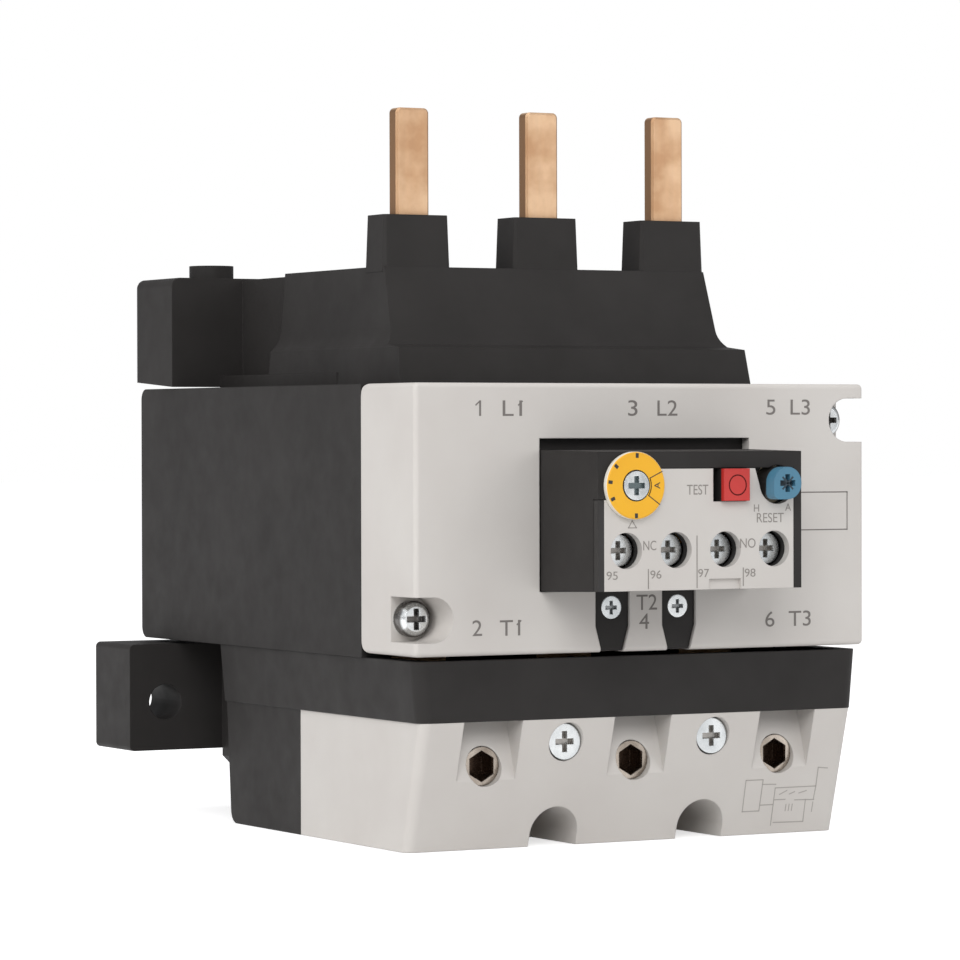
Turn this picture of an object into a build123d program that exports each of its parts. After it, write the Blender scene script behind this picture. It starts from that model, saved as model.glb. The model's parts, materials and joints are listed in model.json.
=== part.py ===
from build123d import *
import os
from math import atan2, degrees, sqrt

os.makedirs("parts", exist_ok=True)

# Thermal overload relay that plugs under a contactor. Millimetres, +Z up, front towards -Y.
# "Depth" is the distance behind the front plate's face, and negative in front of it.

# Fits that are used throughout
wall = 2.5
thin_wall = 1.6
seat_gap = 0.1
running_gap = 0.05
moving_gap = 0.3
overlap = 1.0

# Overall layout
pole_pitch = 28.0
terminal_pitch = 31.5
side_room = 16.5
poles = (-1, 0, 1)
half = terminal_pitch + side_room
plate_to_back = 118.0
block_reach = 19.3
knob_proud = 3.5
knob_reach = block_reach + knob_proud
plate_y = (knob_reach - plate_to_back) / 2

# Heights of the stacked housings
cover_top = 23.7
band_height = 11.1
main_height = 50.05
upper_height = 22.25
turret_height = 9.8
pin_length = 20.2
plate_lift = 0.85
main_bottom = cover_top + band_height
plate_bottom = main_bottom + plate_lift
main_top = main_bottom + main_height
upper_top = main_top + upper_height
turret_top = upper_top + turret_height
pin_top = turret_top + pin_length

# Main housing and front plate
wrap_depth = 21.0
main_rear_radius = 2.2
plate_wall = 2.4
wrap_wall = 1.6
plate_corner_radius = 2.4
crease_radius = 0.9
tongue_wall = 1.7
step_depth = 3.0
partition_wall = 1.6
partition_front = 26.0
slot_room = 1.0

# Plate screws in their side pockets
pocket_inset = 3.7
pocket_rise = 6.6
pocket_drop = 6.75
pocket_radius = 4.1
pocket_floor = 9.4
pocket_wall = 1.6
plate_screw_head = 6.6
plate_screw_head_height = 2.9
plate_screw_bevel = 1.0
plate_screw_shank = 2.8
plate_screw_length = 10.0
screw_boss_radius = 3.6
pocket_x = half - pocket_inset
pocket_z_low = plate_bottom + pocket_rise
pocket_z_high = main_top - pocket_drop
plate_screws_at = ((-pocket_x, pocket_z_low), (pocket_x, pocket_z_high))

# Line pins, which set the depth of the hood
pin_width = 7.0
pin_thickness = 3.2
pin_depth = 39.8
pin_corner_radius = 1.0
pin_edge = 0.4
shoulder_width = 12.0
shoulder_drop = 9.1
foot_drop = 8.85
shoulder_z = upper_top - shoulder_drop
foot_z = main_top - foot_drop

# Upper housing: the hood's front line, from the top down to the flange's foot
hood_margin = 7.0
hood_flare = 0.6
ledge_margin = 2.2
flange_margin = 2.7
flange_foot_margin = 3.2
hood_front_gap = 3.4
hood_lean = 3.5
ledge_inner = 5.4
ledge_outer = 10.8
flange_foot = 12.2
hood_bend_height = 10.75
ledge_high = 7.5
ledge_low = 6.9
upper_back_top = 78.5
upper_back_bottom = 80.0
upper_cavity_gap = 3.2
turret_width = 13.6
turret_depth = 7.3
turret_flare = 0.35
turret_setback = 0.05
turret_chamfer = 0.5
upper_half_top = pole_pitch + hood_margin
upper_half_bend = upper_half_top + hood_flare
ledge_half = upper_half_top + ledge_margin
flange_half_top = upper_half_top + flange_margin
flange_half_bottom = upper_half_top + flange_foot_margin
upper_front = pin_depth - hood_front_gap
bend_z = main_top + hood_bend_height
ledge_high_z = main_top + ledge_high
ledge_low_z = main_top + ledge_low
turret_mid = upper_front + turret_setback + turret_flare + turret_depth / 2
upper_cavity_front = pin_depth + upper_cavity_gap

# Rear bars, webs and the plinth under the upper web
upper_bar_margin = 0.9
upper_bar_thickness = 16.8
upper_bar_lift = 0.3
upper_bar_draft = 1.05
upper_bar_drop = 0.2
upper_bar_radius = 1.8
upper_web_inset = 1.7
upper_web_drop = 0.5
plinth_height = 2.55
plinth_margin = 0.1
plinth_front = 50.0
peg_inset_x = 12.5
peg_inset_back = 8.7
peg_radius = 4.45
peg_height = 2.7
upper_bar_half = half + upper_bar_margin
upper_bar_front = plate_to_back - upper_bar_thickness
upper_bar_bottom = main_top + upper_bar_lift
upper_bar_top = upper_top - upper_bar_drop
upper_web_half = upper_half_top - upper_web_inset
upper_web_top = upper_top - upper_web_drop
plinth_half = flange_half_bottom + plinth_margin
peg_x = upper_bar_half - peg_inset_x
peg_depth = plate_to_back - peg_inset_back
ear_margin = 10.2
lower_bar_thickness = 16.6
lower_bar_bottom = 13.0
lower_bar_gap = 0.7
lower_web_inset = 8.05
lower_web_drop = 3.5
lower_web_chamfer = 2.0
bar_front_wall = 3.0
rib_wall = 2.0
rib_pitch = 12.0
mount_margin = 2.5
mount_rise = 9.6
mount_hole_radius = 3.5
mount_boss_radius = 6.2
mount_boss_length = 14.3
lower_bar_radius = 1.0
lower_bar_half = half + ear_margin
lower_bar_front = plate_to_back - lower_bar_thickness
lower_bar_top = main_bottom - lower_bar_gap
lower_web_bottom = lower_bar_bottom - lower_web_drop
mount_hole_x = half + mount_margin
mount_hole_z = lower_bar_bottom + mount_rise

# Lower housing and terminal cover
band_inset_top = 0.6
band_inset_bottom = 1.6
band_front = 0.9
band_corner_radius = 2.5
lower_back_top = 82.4
lower_back_bottom = 80.4
lower_box_inset = 1.95
lower_box_front = 50.0
lower_box_radius = 2.5
cover_front_top = 0.93
cover_front_bottom = 7.64
cover_wall = 2.2
cover_corner_radius = 2.0
clamp_drop = 8.4
wedge_half = 6.05
wedge_depth = 6.3
wedge_drop = 2.5
wedge_wall = 2.2
arch_half = 5.0
arch_top = 7.3
arch_depth = 24.0
arch_wall = 1.6
cable_half_width = 7.0
cable_front = 31.5
cable_back = 45.0
cover_screw_drop = 4.3
cover_screw_hole = 7.1
cover_screw_head = 6.6
cover_screw_head_height = 2.3
cover_screw_seat = 5.0
cover_screw_shank = 3.5
cover_screw_length = 12.0
cover_boss_radius = 3.4
band_half_top = half - band_inset_top
band_half_bottom = half - band_inset_bottom
lower_box_half = half - lower_box_inset
lower_web_half = lower_box_half - lower_web_inset
cover_half = lower_box_half
cover_slope = (cover_front_bottom - cover_front_top) / cover_top
clamp_z = cover_top - clamp_drop
wedge_bottom = clamp_z - wedge_drop
arch_x = terminal_pitch / 2
cover_screw_x = terminal_pitch / 2
cover_screw_z = cover_top - cover_screw_drop

# Release housing and panel: the block is as wide as its four terminals need
aux_pitch = 10.4
aux_side = 5.85
block_rise = 11.3
block_height = 25.75
block_draft_side = 0.8
block_draft_bottom = 0.55
block_draft_top = 0.3
block_back = 14.0
block_wall = 1.5
block_shell = 1.3
block_side_shell = 1.45
block_flange = 1.6
block_flange_margin = 1.6
tail_inset = 0.45
cutout_gap_side = 0.2
cutout_gap_bottom = 0.05
cutout_gap_top = 2.1
panel_thickness = 1.6
panel_drop = 3.0
panel_inset = 1.6
panel_step_inset = 1.85
panel_step_drop = 5.5
panel_fit = 0.1
latch_left = 1.7
latch_right = 8.5
latch_height = 1.9
latch_deep = 0.7
bulkhead_depth = -8.0
bulkhead_wall = 1.2
block_front = -block_reach
block_half_front = 1.5 * aux_pitch + aux_side
block_half_plate = block_half_front + block_draft_side
block_bottom_plate = plate_bottom + block_rise
block_bottom_front = block_bottom_plate + block_draft_bottom
block_top_plate = block_bottom_plate + block_height
block_top_front = block_top_plate - block_draft_top
block_inner_half = block_half_front - block_side_shell
block_inner_bottom = block_bottom_front + block_shell
block_inner_top = block_top_front - block_shell
tail_half = block_half_plate - tail_inset
cutout_half = block_half_plate + cutout_gap_side
cutout_bottom = block_bottom_plate - cutout_gap_bottom
cutout_top = block_top_plate + cutout_gap_top
panel_top = block_top_front - panel_drop
panel_right = block_half_front - panel_inset
panel_step_x = panel_step_inset - block_half_front
panel_step_z = panel_top - panel_step_drop
latch_top = block_bottom_front + latch_height
wall_front = block_front + panel_thickness
wall_back = wall_front + block_wall

# Lugs that hold the release housing
lug_x = 7.1
lug_half_top = 3.5
lug_half_bottom = 2.25
lug_taper_rise = 4.75
lug_rise = 0.25
lug_face = 0.5
lug_back = 4.0
lug_fit = 0.15
lug_screw_drop = 3.15
lug_screw_head = 4.2
lug_screw_head_height = 1.6
lug_screw_shank = 2.5
lug_screw_length = 10.0
lug_boss_radius = 2.8
lug_taper_z = plate_bottom + lug_taper_rise
lug_bottom = plate_bottom + lug_rise
lug_screw_z = block_bottom_plate - lug_screw_drop

# Dial and its spindle
dial_side = 7.15
dial_drop = 3.05
dial_radius = 6.05
dial_proud = 1.3
dial_chamfer = 0.25
spindle_head = 5.2
spindle_head_proud = 0.15
spindle_head_height = 0.9
spindle_radius = 2.0
spindle_tail = 2.0
spindle_cross = 3.4
spindle_slot = 1.0
spindle_cross_deep = 0.7
cam_radius = 3.4
cam_offset = 0.8
cam_length = 4.0
cam_gap = 1.5
dial_x = dial_side - block_half_front
dial_z = panel_top - dial_drop
dial_front = block_front - dial_proud
spindle_front = dial_front - spindle_head_proud
spindle_back = bulkhead_depth + spindle_tail
cam_back = bulkhead_depth - cam_gap
cam_front = cam_back - cam_length

# Reset knob and plunger
reset_side = 5.15
reset_drop = 2.8
reset_radius = 2.95
reset_spigot_radius = 1.5
reset_spigot_length = 10.3
reset_corner_radius = 1.2
reset_cross = 3.2
reset_slot = 1.0
reset_cross_deep = 1.2
reset_notch_side = 4.8
reset_notch_low_side = 3.3
reset_notch_drop = 2.0
reset_notch_radius = 3.8
reset_collar_radius = 4.2
reset_collar_flat = 3.5
reset_collar_thickness = 1.6
plunger_radius = 2.0
plunger_tail = 4.5
plunger_bore_spare = 0.5
reset_x = block_half_front - reset_side
reset_z = panel_top - reset_drop
reset_notch_x = reset_x - reset_notch_side
reset_notch_low_x = reset_x - reset_notch_low_side
reset_notch_low_z = reset_z - reset_notch_drop
reset_front = -knob_reach
reset_spigot_back = reset_front + reset_spigot_length
plunger_back = bulkhead_depth + plunger_tail
plunger_bore_back = reset_spigot_back + plunger_bore_spare

# Test button
test_side = 6.73
test_width = 5.47
test_slot_extra = 1.5
test_height = 5.83
test_gap = 0.12
collar_thickness = 1.2
test_collar_margin = 0.7
stem_side = 3.0
stem_tail = 4.0
test_right = reset_x - test_side
test_left = test_right - test_width
test_slot_left = test_left - test_slot_extra
test_top = panel_top - test_gap
test_bottom = test_top - test_height
test_x = (test_left + test_right) / 2
test_z = (test_bottom + test_top) / 2
test_front = dial_front
test_stem_back = bulkhead_depth + stem_tail
collar_front = wall_back + seat_gap
test_collar_back = collar_front + collar_thickness
reset_collar_back = collar_front + reset_collar_thickness

# Springs behind the buttons
spring_wire = 0.45
spring_turns = 4
spring_clear = 0.25

# Auxiliary terminals
aux_rise = 7.2
aux_hole = 6.5
aux_head = 5.8
aux_head_height = 2.2
aux_head_recess = 3.0
aux_thread = 3.5
aux_thread_length = 7.6
aux_plate_side = 6.0
aux_plate_thickness = 0.9
aux_wire_space = 2.2
strip_thickness = 1.0
strip_half = 3.2
strip_lift = 1.2
strip_height = 9.5
strip_bend = 0.2
tongue_half = 1.6
tongue_thickness = 0.8
wire_entry_half = 2.6
aux_xs = [aux_pitch * k for k in (-1.5, -0.5, 0.5, 1.5)]
aux_z = block_bottom_front + aux_rise
aux_head_front = block_front + aux_head_recess
aux_plate_front = aux_head_front + aux_head_height
strip_front = aux_plate_front + aux_plate_thickness + aux_wire_space
strip_back = strip_front + strip_thickness
strip_bottom = block_inner_bottom + strip_lift
strip_top = strip_bottom + strip_height
tongue_bottom = aux_z

# Contacts and their carrier
contact_gap = 0.05
contact_travel = 1.5
rivet_radius = 1.2
rivet_height = 0.8
bridge_thickness = 0.8
bridge_lift = 0.3
bridge_height = 3.0
bridge_reach = 2.0
rest_bridge_depth = 1.0
open_bridge_step = 0.35
carrier_gap = 0.2
carrier_lift = 2.2
carrier_height = 3.0
carrier_front = 1.0
carrier_back = 5.0
post_half = 1.7
post_front = 0.1
post_back = 3.2
post_rise = 1.0
ledge_width = 2.0
ledge_front = -4.0
ledge_back = 10.0
bulkhead_gap = 1.7
bridge_bottom = tongue_bottom + bridge_lift
bridge_top = bridge_bottom + bridge_height
bridge_half = aux_pitch / 2 + bridge_reach
carrier_half = block_inner_half - carrier_gap
carrier_bottom = block_inner_bottom + carrier_lift
post_top = bridge_top + post_rise
bulkhead_bottom = strip_top + bulkhead_gap
closed_rivet_back = rest_bridge_depth + bridge_thickness + rivet_height
closed_tongue_front = closed_rivet_back + contact_gap + rivet_height
open_bridge_front = rest_bridge_depth + open_bridge_step
open_rivet_front = open_bridge_front - rivet_height
open_tongue_back = open_rivet_front - contact_travel - contact_gap - rivet_height
contact_z = (bridge_bottom + bridge_top) / 2

# Trip lever and slide
lever_x = -9.0
lever_depth = 9.0
lever_lift = 1.8
lever_height = 3.0
lever_hub_radius = 2.6
lever_hub_height = 6.0
lever_pin_radius = 1.2
lever_pin_height = 9.0
lever_arm_width = 2.8
nose_left = 3.0
nose_right = 6.2
nose_back_gap = 0.8
nose_root_front = 1.5
strip_slot_depth = 3.0
comp_thickness = 0.8
comp_setback = 3.0
comp_length = 11.0
slide_arm_overlap = 3.0
slide_arm_width = 2.5
slide_travel = 3.0
slide_drop = 0.1
slide_height = 3.0
slide_end_left = 6.0
slide_end_right = 5.0
slide_margin = 1.4
window_fit = 0.3
lever_bottom = block_inner_bottom + lever_lift
nose_back = lever_depth - nose_back_gap
comp_front = lever_depth + comp_setback
comp_back = comp_front + comp_length
comp_left = lever_x - comp_thickness / 2
slide_arm_front = comp_back - slide_arm_overlap
slide_arm_right = comp_left - moving_gap
slide_bottom = lever_bottom - slide_drop
slide_left = -pole_pitch - slide_end_left
slide_right = pole_pitch + slide_end_right

# Heaters and bimetals behind the pins
bimetal_setback = 9.7
bimetal_thickness = 1.2
bimetal_width = 8.0
bimetal_reach = 1.2
foot_margin = 0.5
sleeve_gap = 0.4
sleeve_wall = 0.5
sleeve_rise = 2.5
sleeve_drop = 1.5
coil_rise = 1.2
coil_gap = 0.2
coil_ribbon = 0.8
coil_height = 1.7
coil_pitch = 2.7
coil_turns = 6
lead_width = 3.0
lead_drop = 1.2
bimetal_depth = pin_depth + bimetal_setback
foot_back = bimetal_depth + bimetal_width / 2 + foot_margin
bimetal_bottom = slide_bottom - bimetal_reach
sleeve_bottom = slide_bottom + slide_height + sleeve_rise
sleeve_top = foot_z - sleeve_drop
coil_bottom = sleeve_bottom + coil_rise
coil_half_x = bimetal_thickness / 2 + sleeve_gap + sleeve_wall + coil_gap
coil_half_y = bimetal_width / 2 + sleeve_gap + sleeve_wall + coil_gap
coil_front = bimetal_depth - coil_half_y - coil_ribbon
slide_front = bimetal_depth - bimetal_width / 2 - slide_margin
slide_back = bimetal_depth + bimetal_width / 2 + slide_margin

# Load bars and rising clamp cages
load_bar_width = 12.0
load_bar_thickness = 3.0
load_bar_depth = 31.8
load_bar_reach = 6.8
load_bar_rise = 0.8
load_bar_chamfer = 1.0
clamp_thread = 8.0
clamp_neck = 7.1
clamp_hole = 7.3
clamp_socket = 5.0
clamp_socket_depth = 4.5
clamp_front = 5.6
clamp_thread_start = 9.0
clamp_tip_gap = 0.3
cage_half_width = 8.0
cage_side_wall = 2.0
cage_front_wall = 4.0
cage_back_wall = 3.0
cage_front = 17.0
cage_height = 12.0
cage_chamfer = 1.0
cable_space = 9.0
load_bar_front = load_bar_depth - load_bar_thickness / 2
load_bar_back = load_bar_depth + load_bar_thickness / 2
load_bar_bottom = clamp_z - load_bar_reach
load_bar_top = coil_bottom + load_bar_rise
cage_back_inner = load_bar_back + cable_space
cage_bottom = clamp_z - cage_height / 2

# Screws between the housings
inner_screw_head = 6.4
inner_screw_head_height = 2.2
inner_screw_shank = 3.4
inner_screw_length = 8.5
inner_boss_radius = 3.4
cross_share = 0.58
slot_share = 0.16
roof_screw_x = 20.0
roof_screw_depths = (31.0, 71.0)
floor_screw_inset = 6.0
floor_screw_depths = (28.0, 72.0)
floor_screw_x = half - floor_screw_inset

# Faces of the nested shells
tongue_half_width = half - wrap_wall - seat_gap
tongue_low = plate_bottom + wrap_wall + seat_gap
tongue_high = main_top - wrap_wall - seat_gap
tongue_front = plate_wall + seat_gap
cavity_back = plate_to_back - wall


def facing(depth):
    """A plane that faces the front at a depth: x to the right, y up, extruding forwards."""
    return Plane((0, plate_y + depth, 0), x_dir=(1, 0, 0), z_dir=(0, -1, 0))


def level(z):
    """A level plane: x to the right, y is the depth, extruding upwards."""
    return Plane((0, plate_y, z), x_dir=(1, 0, 0), z_dir=(0, 0, 1))


def side(x):
    """A plane seen from the right: x is the depth, y up, extruding to the right."""
    return Plane((x, plate_y, 0), x_dir=(0, 1, 0), z_dir=(1, 0, 0))


def rect(left, right, low, high, mode=Mode.ADD):
    """A rectangle by its limits, in the sketch that calls it."""
    with Locations(((left + right) / 2, (low + high) / 2)):
        Rectangle(right - left, high - low, mode=mode)


def outline(*points):
    """A closed straight-sided outline, filled, in the sketch that calls it."""
    with BuildLine() as path:
        Polyline(*points, close=True)
    make_face(path.edges())


def disc(x, y, radius, mode=Mode.ADD):
    with Locations((x, y)):
        Circle(radius, mode=mode)


def cross_cut(x, z, front, size, slot, deep):
    """A cross recess in a screw head that faces the front."""
    with BuildSketch(facing(front)) as cross:
        with Locations((x, z)):
            Rectangle(size, slot)
            Rectangle(slot, size)
    extrude(cross.sketch, amount=-deep, mode=Mode.SUBTRACT)


def front_screw(x, z, front, head, head_height, shank, length, bevel=0.0):
    """A screw that enters from the front, its head's face at a depth, with a cross recess."""
    with BuildSketch(facing(front)) as head_disc:
        disc(x, z, head / 2)
    extrude(head_disc.sketch, amount=-head_height)
    if bevel:
        rim = edges(Select.LAST).filter_by(GeomType.CIRCLE).sort_by(Axis.Y)[0]
        chamfer(rim, bevel)
    with BuildSketch(facing(front + head_height)) as shank_disc:
        disc(x, z, shank / 2)
    extrude(shank_disc.sketch, amount=-length)
    cross_cut(x, z, front, head * cross_share, head * slot_share, head_height * cross_share)


def level_screw(x, depth, head_z, up):
    """A screw between housings: its head's seat at a height, and its shank up or down."""
    way = 1 if up else -1
    with BuildSketch(level(head_z)) as head_disc:
        disc(x, depth, inner_screw_head / 2)
    extrude(head_disc.sketch, amount=-way * inner_screw_head_height)
    with BuildSketch(level(head_z)) as shank_disc:
        disc(x, depth, inner_screw_shank / 2)
    extrude(shank_disc.sketch, amount=way * inner_screw_length)


def pocket_outline(x, z, reach, margin=0.0):
    """A screw pocket: round towards the middle, and straight out to the side it lies on."""
    way = 1 if x > 0 else -1
    radius = pocket_radius + margin
    disc(x, z, radius)
    rect(min(x, way * half), max(x, way * half), z - radius, z + radius)
    near, far = sorted((way * reach, way * (half + radius)))
    rect(near, far, z - 2 * radius, z + 2 * radius, mode=Mode.SUBTRACT)


def lug_outline(x, margin=0.0):
    """A lug of the release housing, narrower at its lower end."""
    top = lug_half_top + margin
    low = lug_half_bottom + margin
    outline(
        (x - top, cutout_bottom + overlap),
        (x - top, lug_taper_z),
        (x - low, lug_bottom - margin),
        (x + low, lug_bottom - margin),
        (x + top, lug_taper_z),
        (x + top, cutout_bottom + overlap),
    )


def ribbed_cells(half_width, low, high, rib_reach):
    """A rectangle split into cells by upright ribs, which stand out to a reach."""
    rect(-half_width, half_width, low, high)
    count = int(rib_reach // rib_pitch)
    for k in range(-count, count + 1):
        rect(k * rib_pitch - rib_wall / 2, k * rib_pitch + rib_wall / 2, low, high, mode=Mode.SUBTRACT)


def cover_face(z):
    """The depth of the terminal cover's sloped face at a height."""
    return cover_front_top + cover_slope * (cover_top - z)


def save(piece, label):
    piece.part.label = label
    export_step(piece.part, "parts/" + label + ".step")


# Main housing: a deep case, open to the front, with a tongue that the plate slips over
with BuildPart() as main_housing:
    with BuildSketch(side(-half)) as body:
        rect(wrap_depth, plate_to_back, main_bottom, main_top)
        fillet(body.vertices().group_by(Axis.X)[-1], main_rear_radius)
    extrude(amount=2 * half)
    with BuildSketch(facing(tongue_front)):
        rect(-tongue_half_width, tongue_half_width, tongue_low, tongue_high)
    extrude(amount=tongue_front - wrap_depth - overlap)
    inner_half = tongue_half_width - tongue_wall
    with BuildSketch(facing(tongue_front)):
        rect(-inner_half, inner_half, tongue_low + tongue_wall, tongue_high - tongue_wall)
    extrude(amount=tongue_front - wrap_depth - step_depth, mode=Mode.SUBTRACT)
    with BuildSketch(facing(wrap_depth + step_depth)):
        rect(-half + wall, half - wall, main_bottom + wall, main_top - wall)
    extrude(amount=wrap_depth + step_depth - cavity_back, mode=Mode.SUBTRACT)
    # Walls between the poles, with a window for the trip slide
    with BuildSketch(level(main_bottom + wall)):
        for k in (-1, 1):
            x = k * pole_pitch / 2
            rect(x - partition_wall / 2, x + partition_wall / 2, partition_front, cavity_back)
    extrude(amount=main_top - main_bottom - 2 * wall)
    with BuildSketch(side(-pole_pitch)):
        rect(slide_front - window_fit, slide_back + window_fit,
             slide_bottom - window_fit, slide_bottom + slide_height + window_fit)
    extrude(amount=2 * pole_pitch, mode=Mode.SUBTRACT)
    # Openings in the roof for the line bars and in the floor for the load bars
    with BuildSketch(level(main_top - wall)):
        for k in poles:
            x = k * pole_pitch
            rect(x - shoulder_width / 2 - slot_room, x + shoulder_width / 2 + slot_room,
                 pin_depth - pin_thickness / 2 - slot_room, pin_depth + pin_thickness / 2 + slot_room)
    extrude(amount=wall, mode=Mode.SUBTRACT)
    with BuildSketch(level(main_bottom)):
        for k in poles:
            x = k * terminal_pitch
            rect(x - load_bar_width / 2 - slot_room, x + load_bar_width / 2 + slot_room,
                 load_bar_front - slot_room, load_bar_back + slot_room)
    extrude(amount=wall, mode=Mode.SUBTRACT)
    # Room for the plate's pockets, and the bosses behind them
    with BuildSketch(facing(tongue_front)):
        for x, z in plate_screws_at:
            pocket_outline(x, z, half, pocket_wall + seat_gap)
    extrude(amount=tongue_front - pocket_floor - pocket_wall - seat_gap, mode=Mode.SUBTRACT)
    boss_face = pocket_floor + pocket_wall + seat_gap
    for x, z in plate_screws_at:
        way = 1 if x > 0 else -1
        boss_x = x - way * (screw_boss_radius - overlap)
        with BuildSketch(facing(boss_face)):
            disc(boss_x, z, screw_boss_radius)
            rect(min(boss_x, way * inner_half), max(boss_x, way * inner_half),
                 z - screw_boss_radius, z + screw_boss_radius)
        extrude(amount=boss_face - wrap_depth - step_depth)
        with BuildSketch(facing(boss_face)):
            disc(x, z, plate_screw_shank / 2)
        extrude(amount=boss_face - wrap_depth - overlap, mode=Mode.SUBTRACT)
    # Bosses under the lugs of the release housing
    with BuildSketch(facing(tongue_front)):
        for k in (-1, 1):
            lug_outline(k * lug_x, lug_fit)
    extrude(amount=tongue_front - lug_back - seat_gap, mode=Mode.SUBTRACT)
    lug_seat = lug_back + seat_gap
    for k in (-1, 1):
        with BuildSketch(facing(lug_seat)):
            disc(k * lug_x, lug_screw_z, lug_boss_radius)
            rect(k * lug_x - lug_boss_radius, k * lug_x + lug_boss_radius, tongue_low + overlap, lug_screw_z)
        extrude(amount=lug_seat - wrap_depth - step_depth)
        with BuildSketch(facing(lug_seat)):
            disc(k * lug_x, lug_screw_z, lug_screw_shank / 2)
        extrude(amount=-lug_screw_length, mode=Mode.SUBTRACT)
    # Holes for the screws into the upper and the lower housing
    with BuildSketch(level(main_top - wall)):
        for depth in roof_screw_depths:
            for k in (-1, 1):
                disc(k * roof_screw_x, depth, inner_screw_shank / 2 + running_gap)
    extrude(amount=wall, mode=Mode.SUBTRACT)
    with BuildSketch(level(main_bottom)):
        for depth in floor_screw_depths:
            for k in (-1, 1):
                disc(k * floor_screw_x, depth, inner_screw_shank / 2 + running_gap)
    extrude(amount=wall, mode=Mode.SUBTRACT)
save(main_housing, "main_housing")

# Front plate: a shallow tray with side wraps, a cut-out, two lug notches and two screw pockets
with BuildPart() as front_plate:
    with BuildSketch(facing(0)):
        rect(-half, half, plate_bottom, main_top)
    extrude(amount=-wrap_depth)
    long_edges = front_plate.edges().filter_by(Axis.Z).group_by(Axis.Y)
    fillet(long_edges[0], crease_radius)
    side_faces = [f for f in front_plate.faces() if abs(abs(f.center().X) - half) < 0.01]
    corners = [e for f in side_faces for e in f.edges() if e.geom_type == GeomType.LINE
               and abs(e.tangent_at(0.5).X) < 0.1 and abs(e.tangent_at(0.5).Y) > 0.9]
    fillet(corners, crease_radius)
    with BuildSketch(facing(plate_wall)):
        rect(-half + wrap_wall, half - wrap_wall, plate_bottom + wrap_wall, main_top - wrap_wall)
    extrude(amount=plate_wall - wrap_depth, mode=Mode.SUBTRACT)
    # Round rear corners of the side wraps
    with BuildSketch(side(-half)):
        corner = wrap_depth - plate_corner_radius
        rect(corner, wrap_depth, main_top - plate_corner_radius, main_top)
        rect(corner, wrap_depth, plate_bottom, plate_bottom + plate_corner_radius)
        disc(corner, main_top - plate_corner_radius, plate_corner_radius, mode=Mode.SUBTRACT)
        disc(corner, plate_bottom + plate_corner_radius, plate_corner_radius, mode=Mode.SUBTRACT)
    extrude(amount=2 * half, mode=Mode.SUBTRACT)
    # Screw pockets, open to the side
    for x, z in plate_screws_at:
        with BuildSketch(facing(plate_wall)):
            pocket_outline(x, z, half - wrap_wall / 2, pocket_wall)
        extrude(amount=plate_wall - pocket_floor - pocket_wall)
        with BuildSketch(facing(0)):
            pocket_outline(x, z, half)
        extrude(amount=-pocket_floor, mode=Mode.SUBTRACT)
        with BuildSketch(facing(pocket_floor)):
            disc(x, z, plate_screw_shank / 2 + running_gap)
        extrude(amount=-pocket_wall, mode=Mode.SUBTRACT)
    with BuildSketch(facing(0)):
        rect(-cutout_half, cutout_half, cutout_bottom, cutout_top)
    extrude(amount=-plate_wall, mode=Mode.SUBTRACT)
    with BuildSketch(facing(0)):
        for k in (-1, 1):
            lug_outline(k * lug_x, lug_fit)
            rect(k * lug_x - lug_half_bottom - lug_fit, k * lug_x + lug_half_bottom + lug_fit,
                 plate_bottom - overlap, lug_bottom)
    extrude(amount=-lug_back - seat_gap, mode=Mode.SUBTRACT)
save(front_plate, "front_plate")

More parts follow.
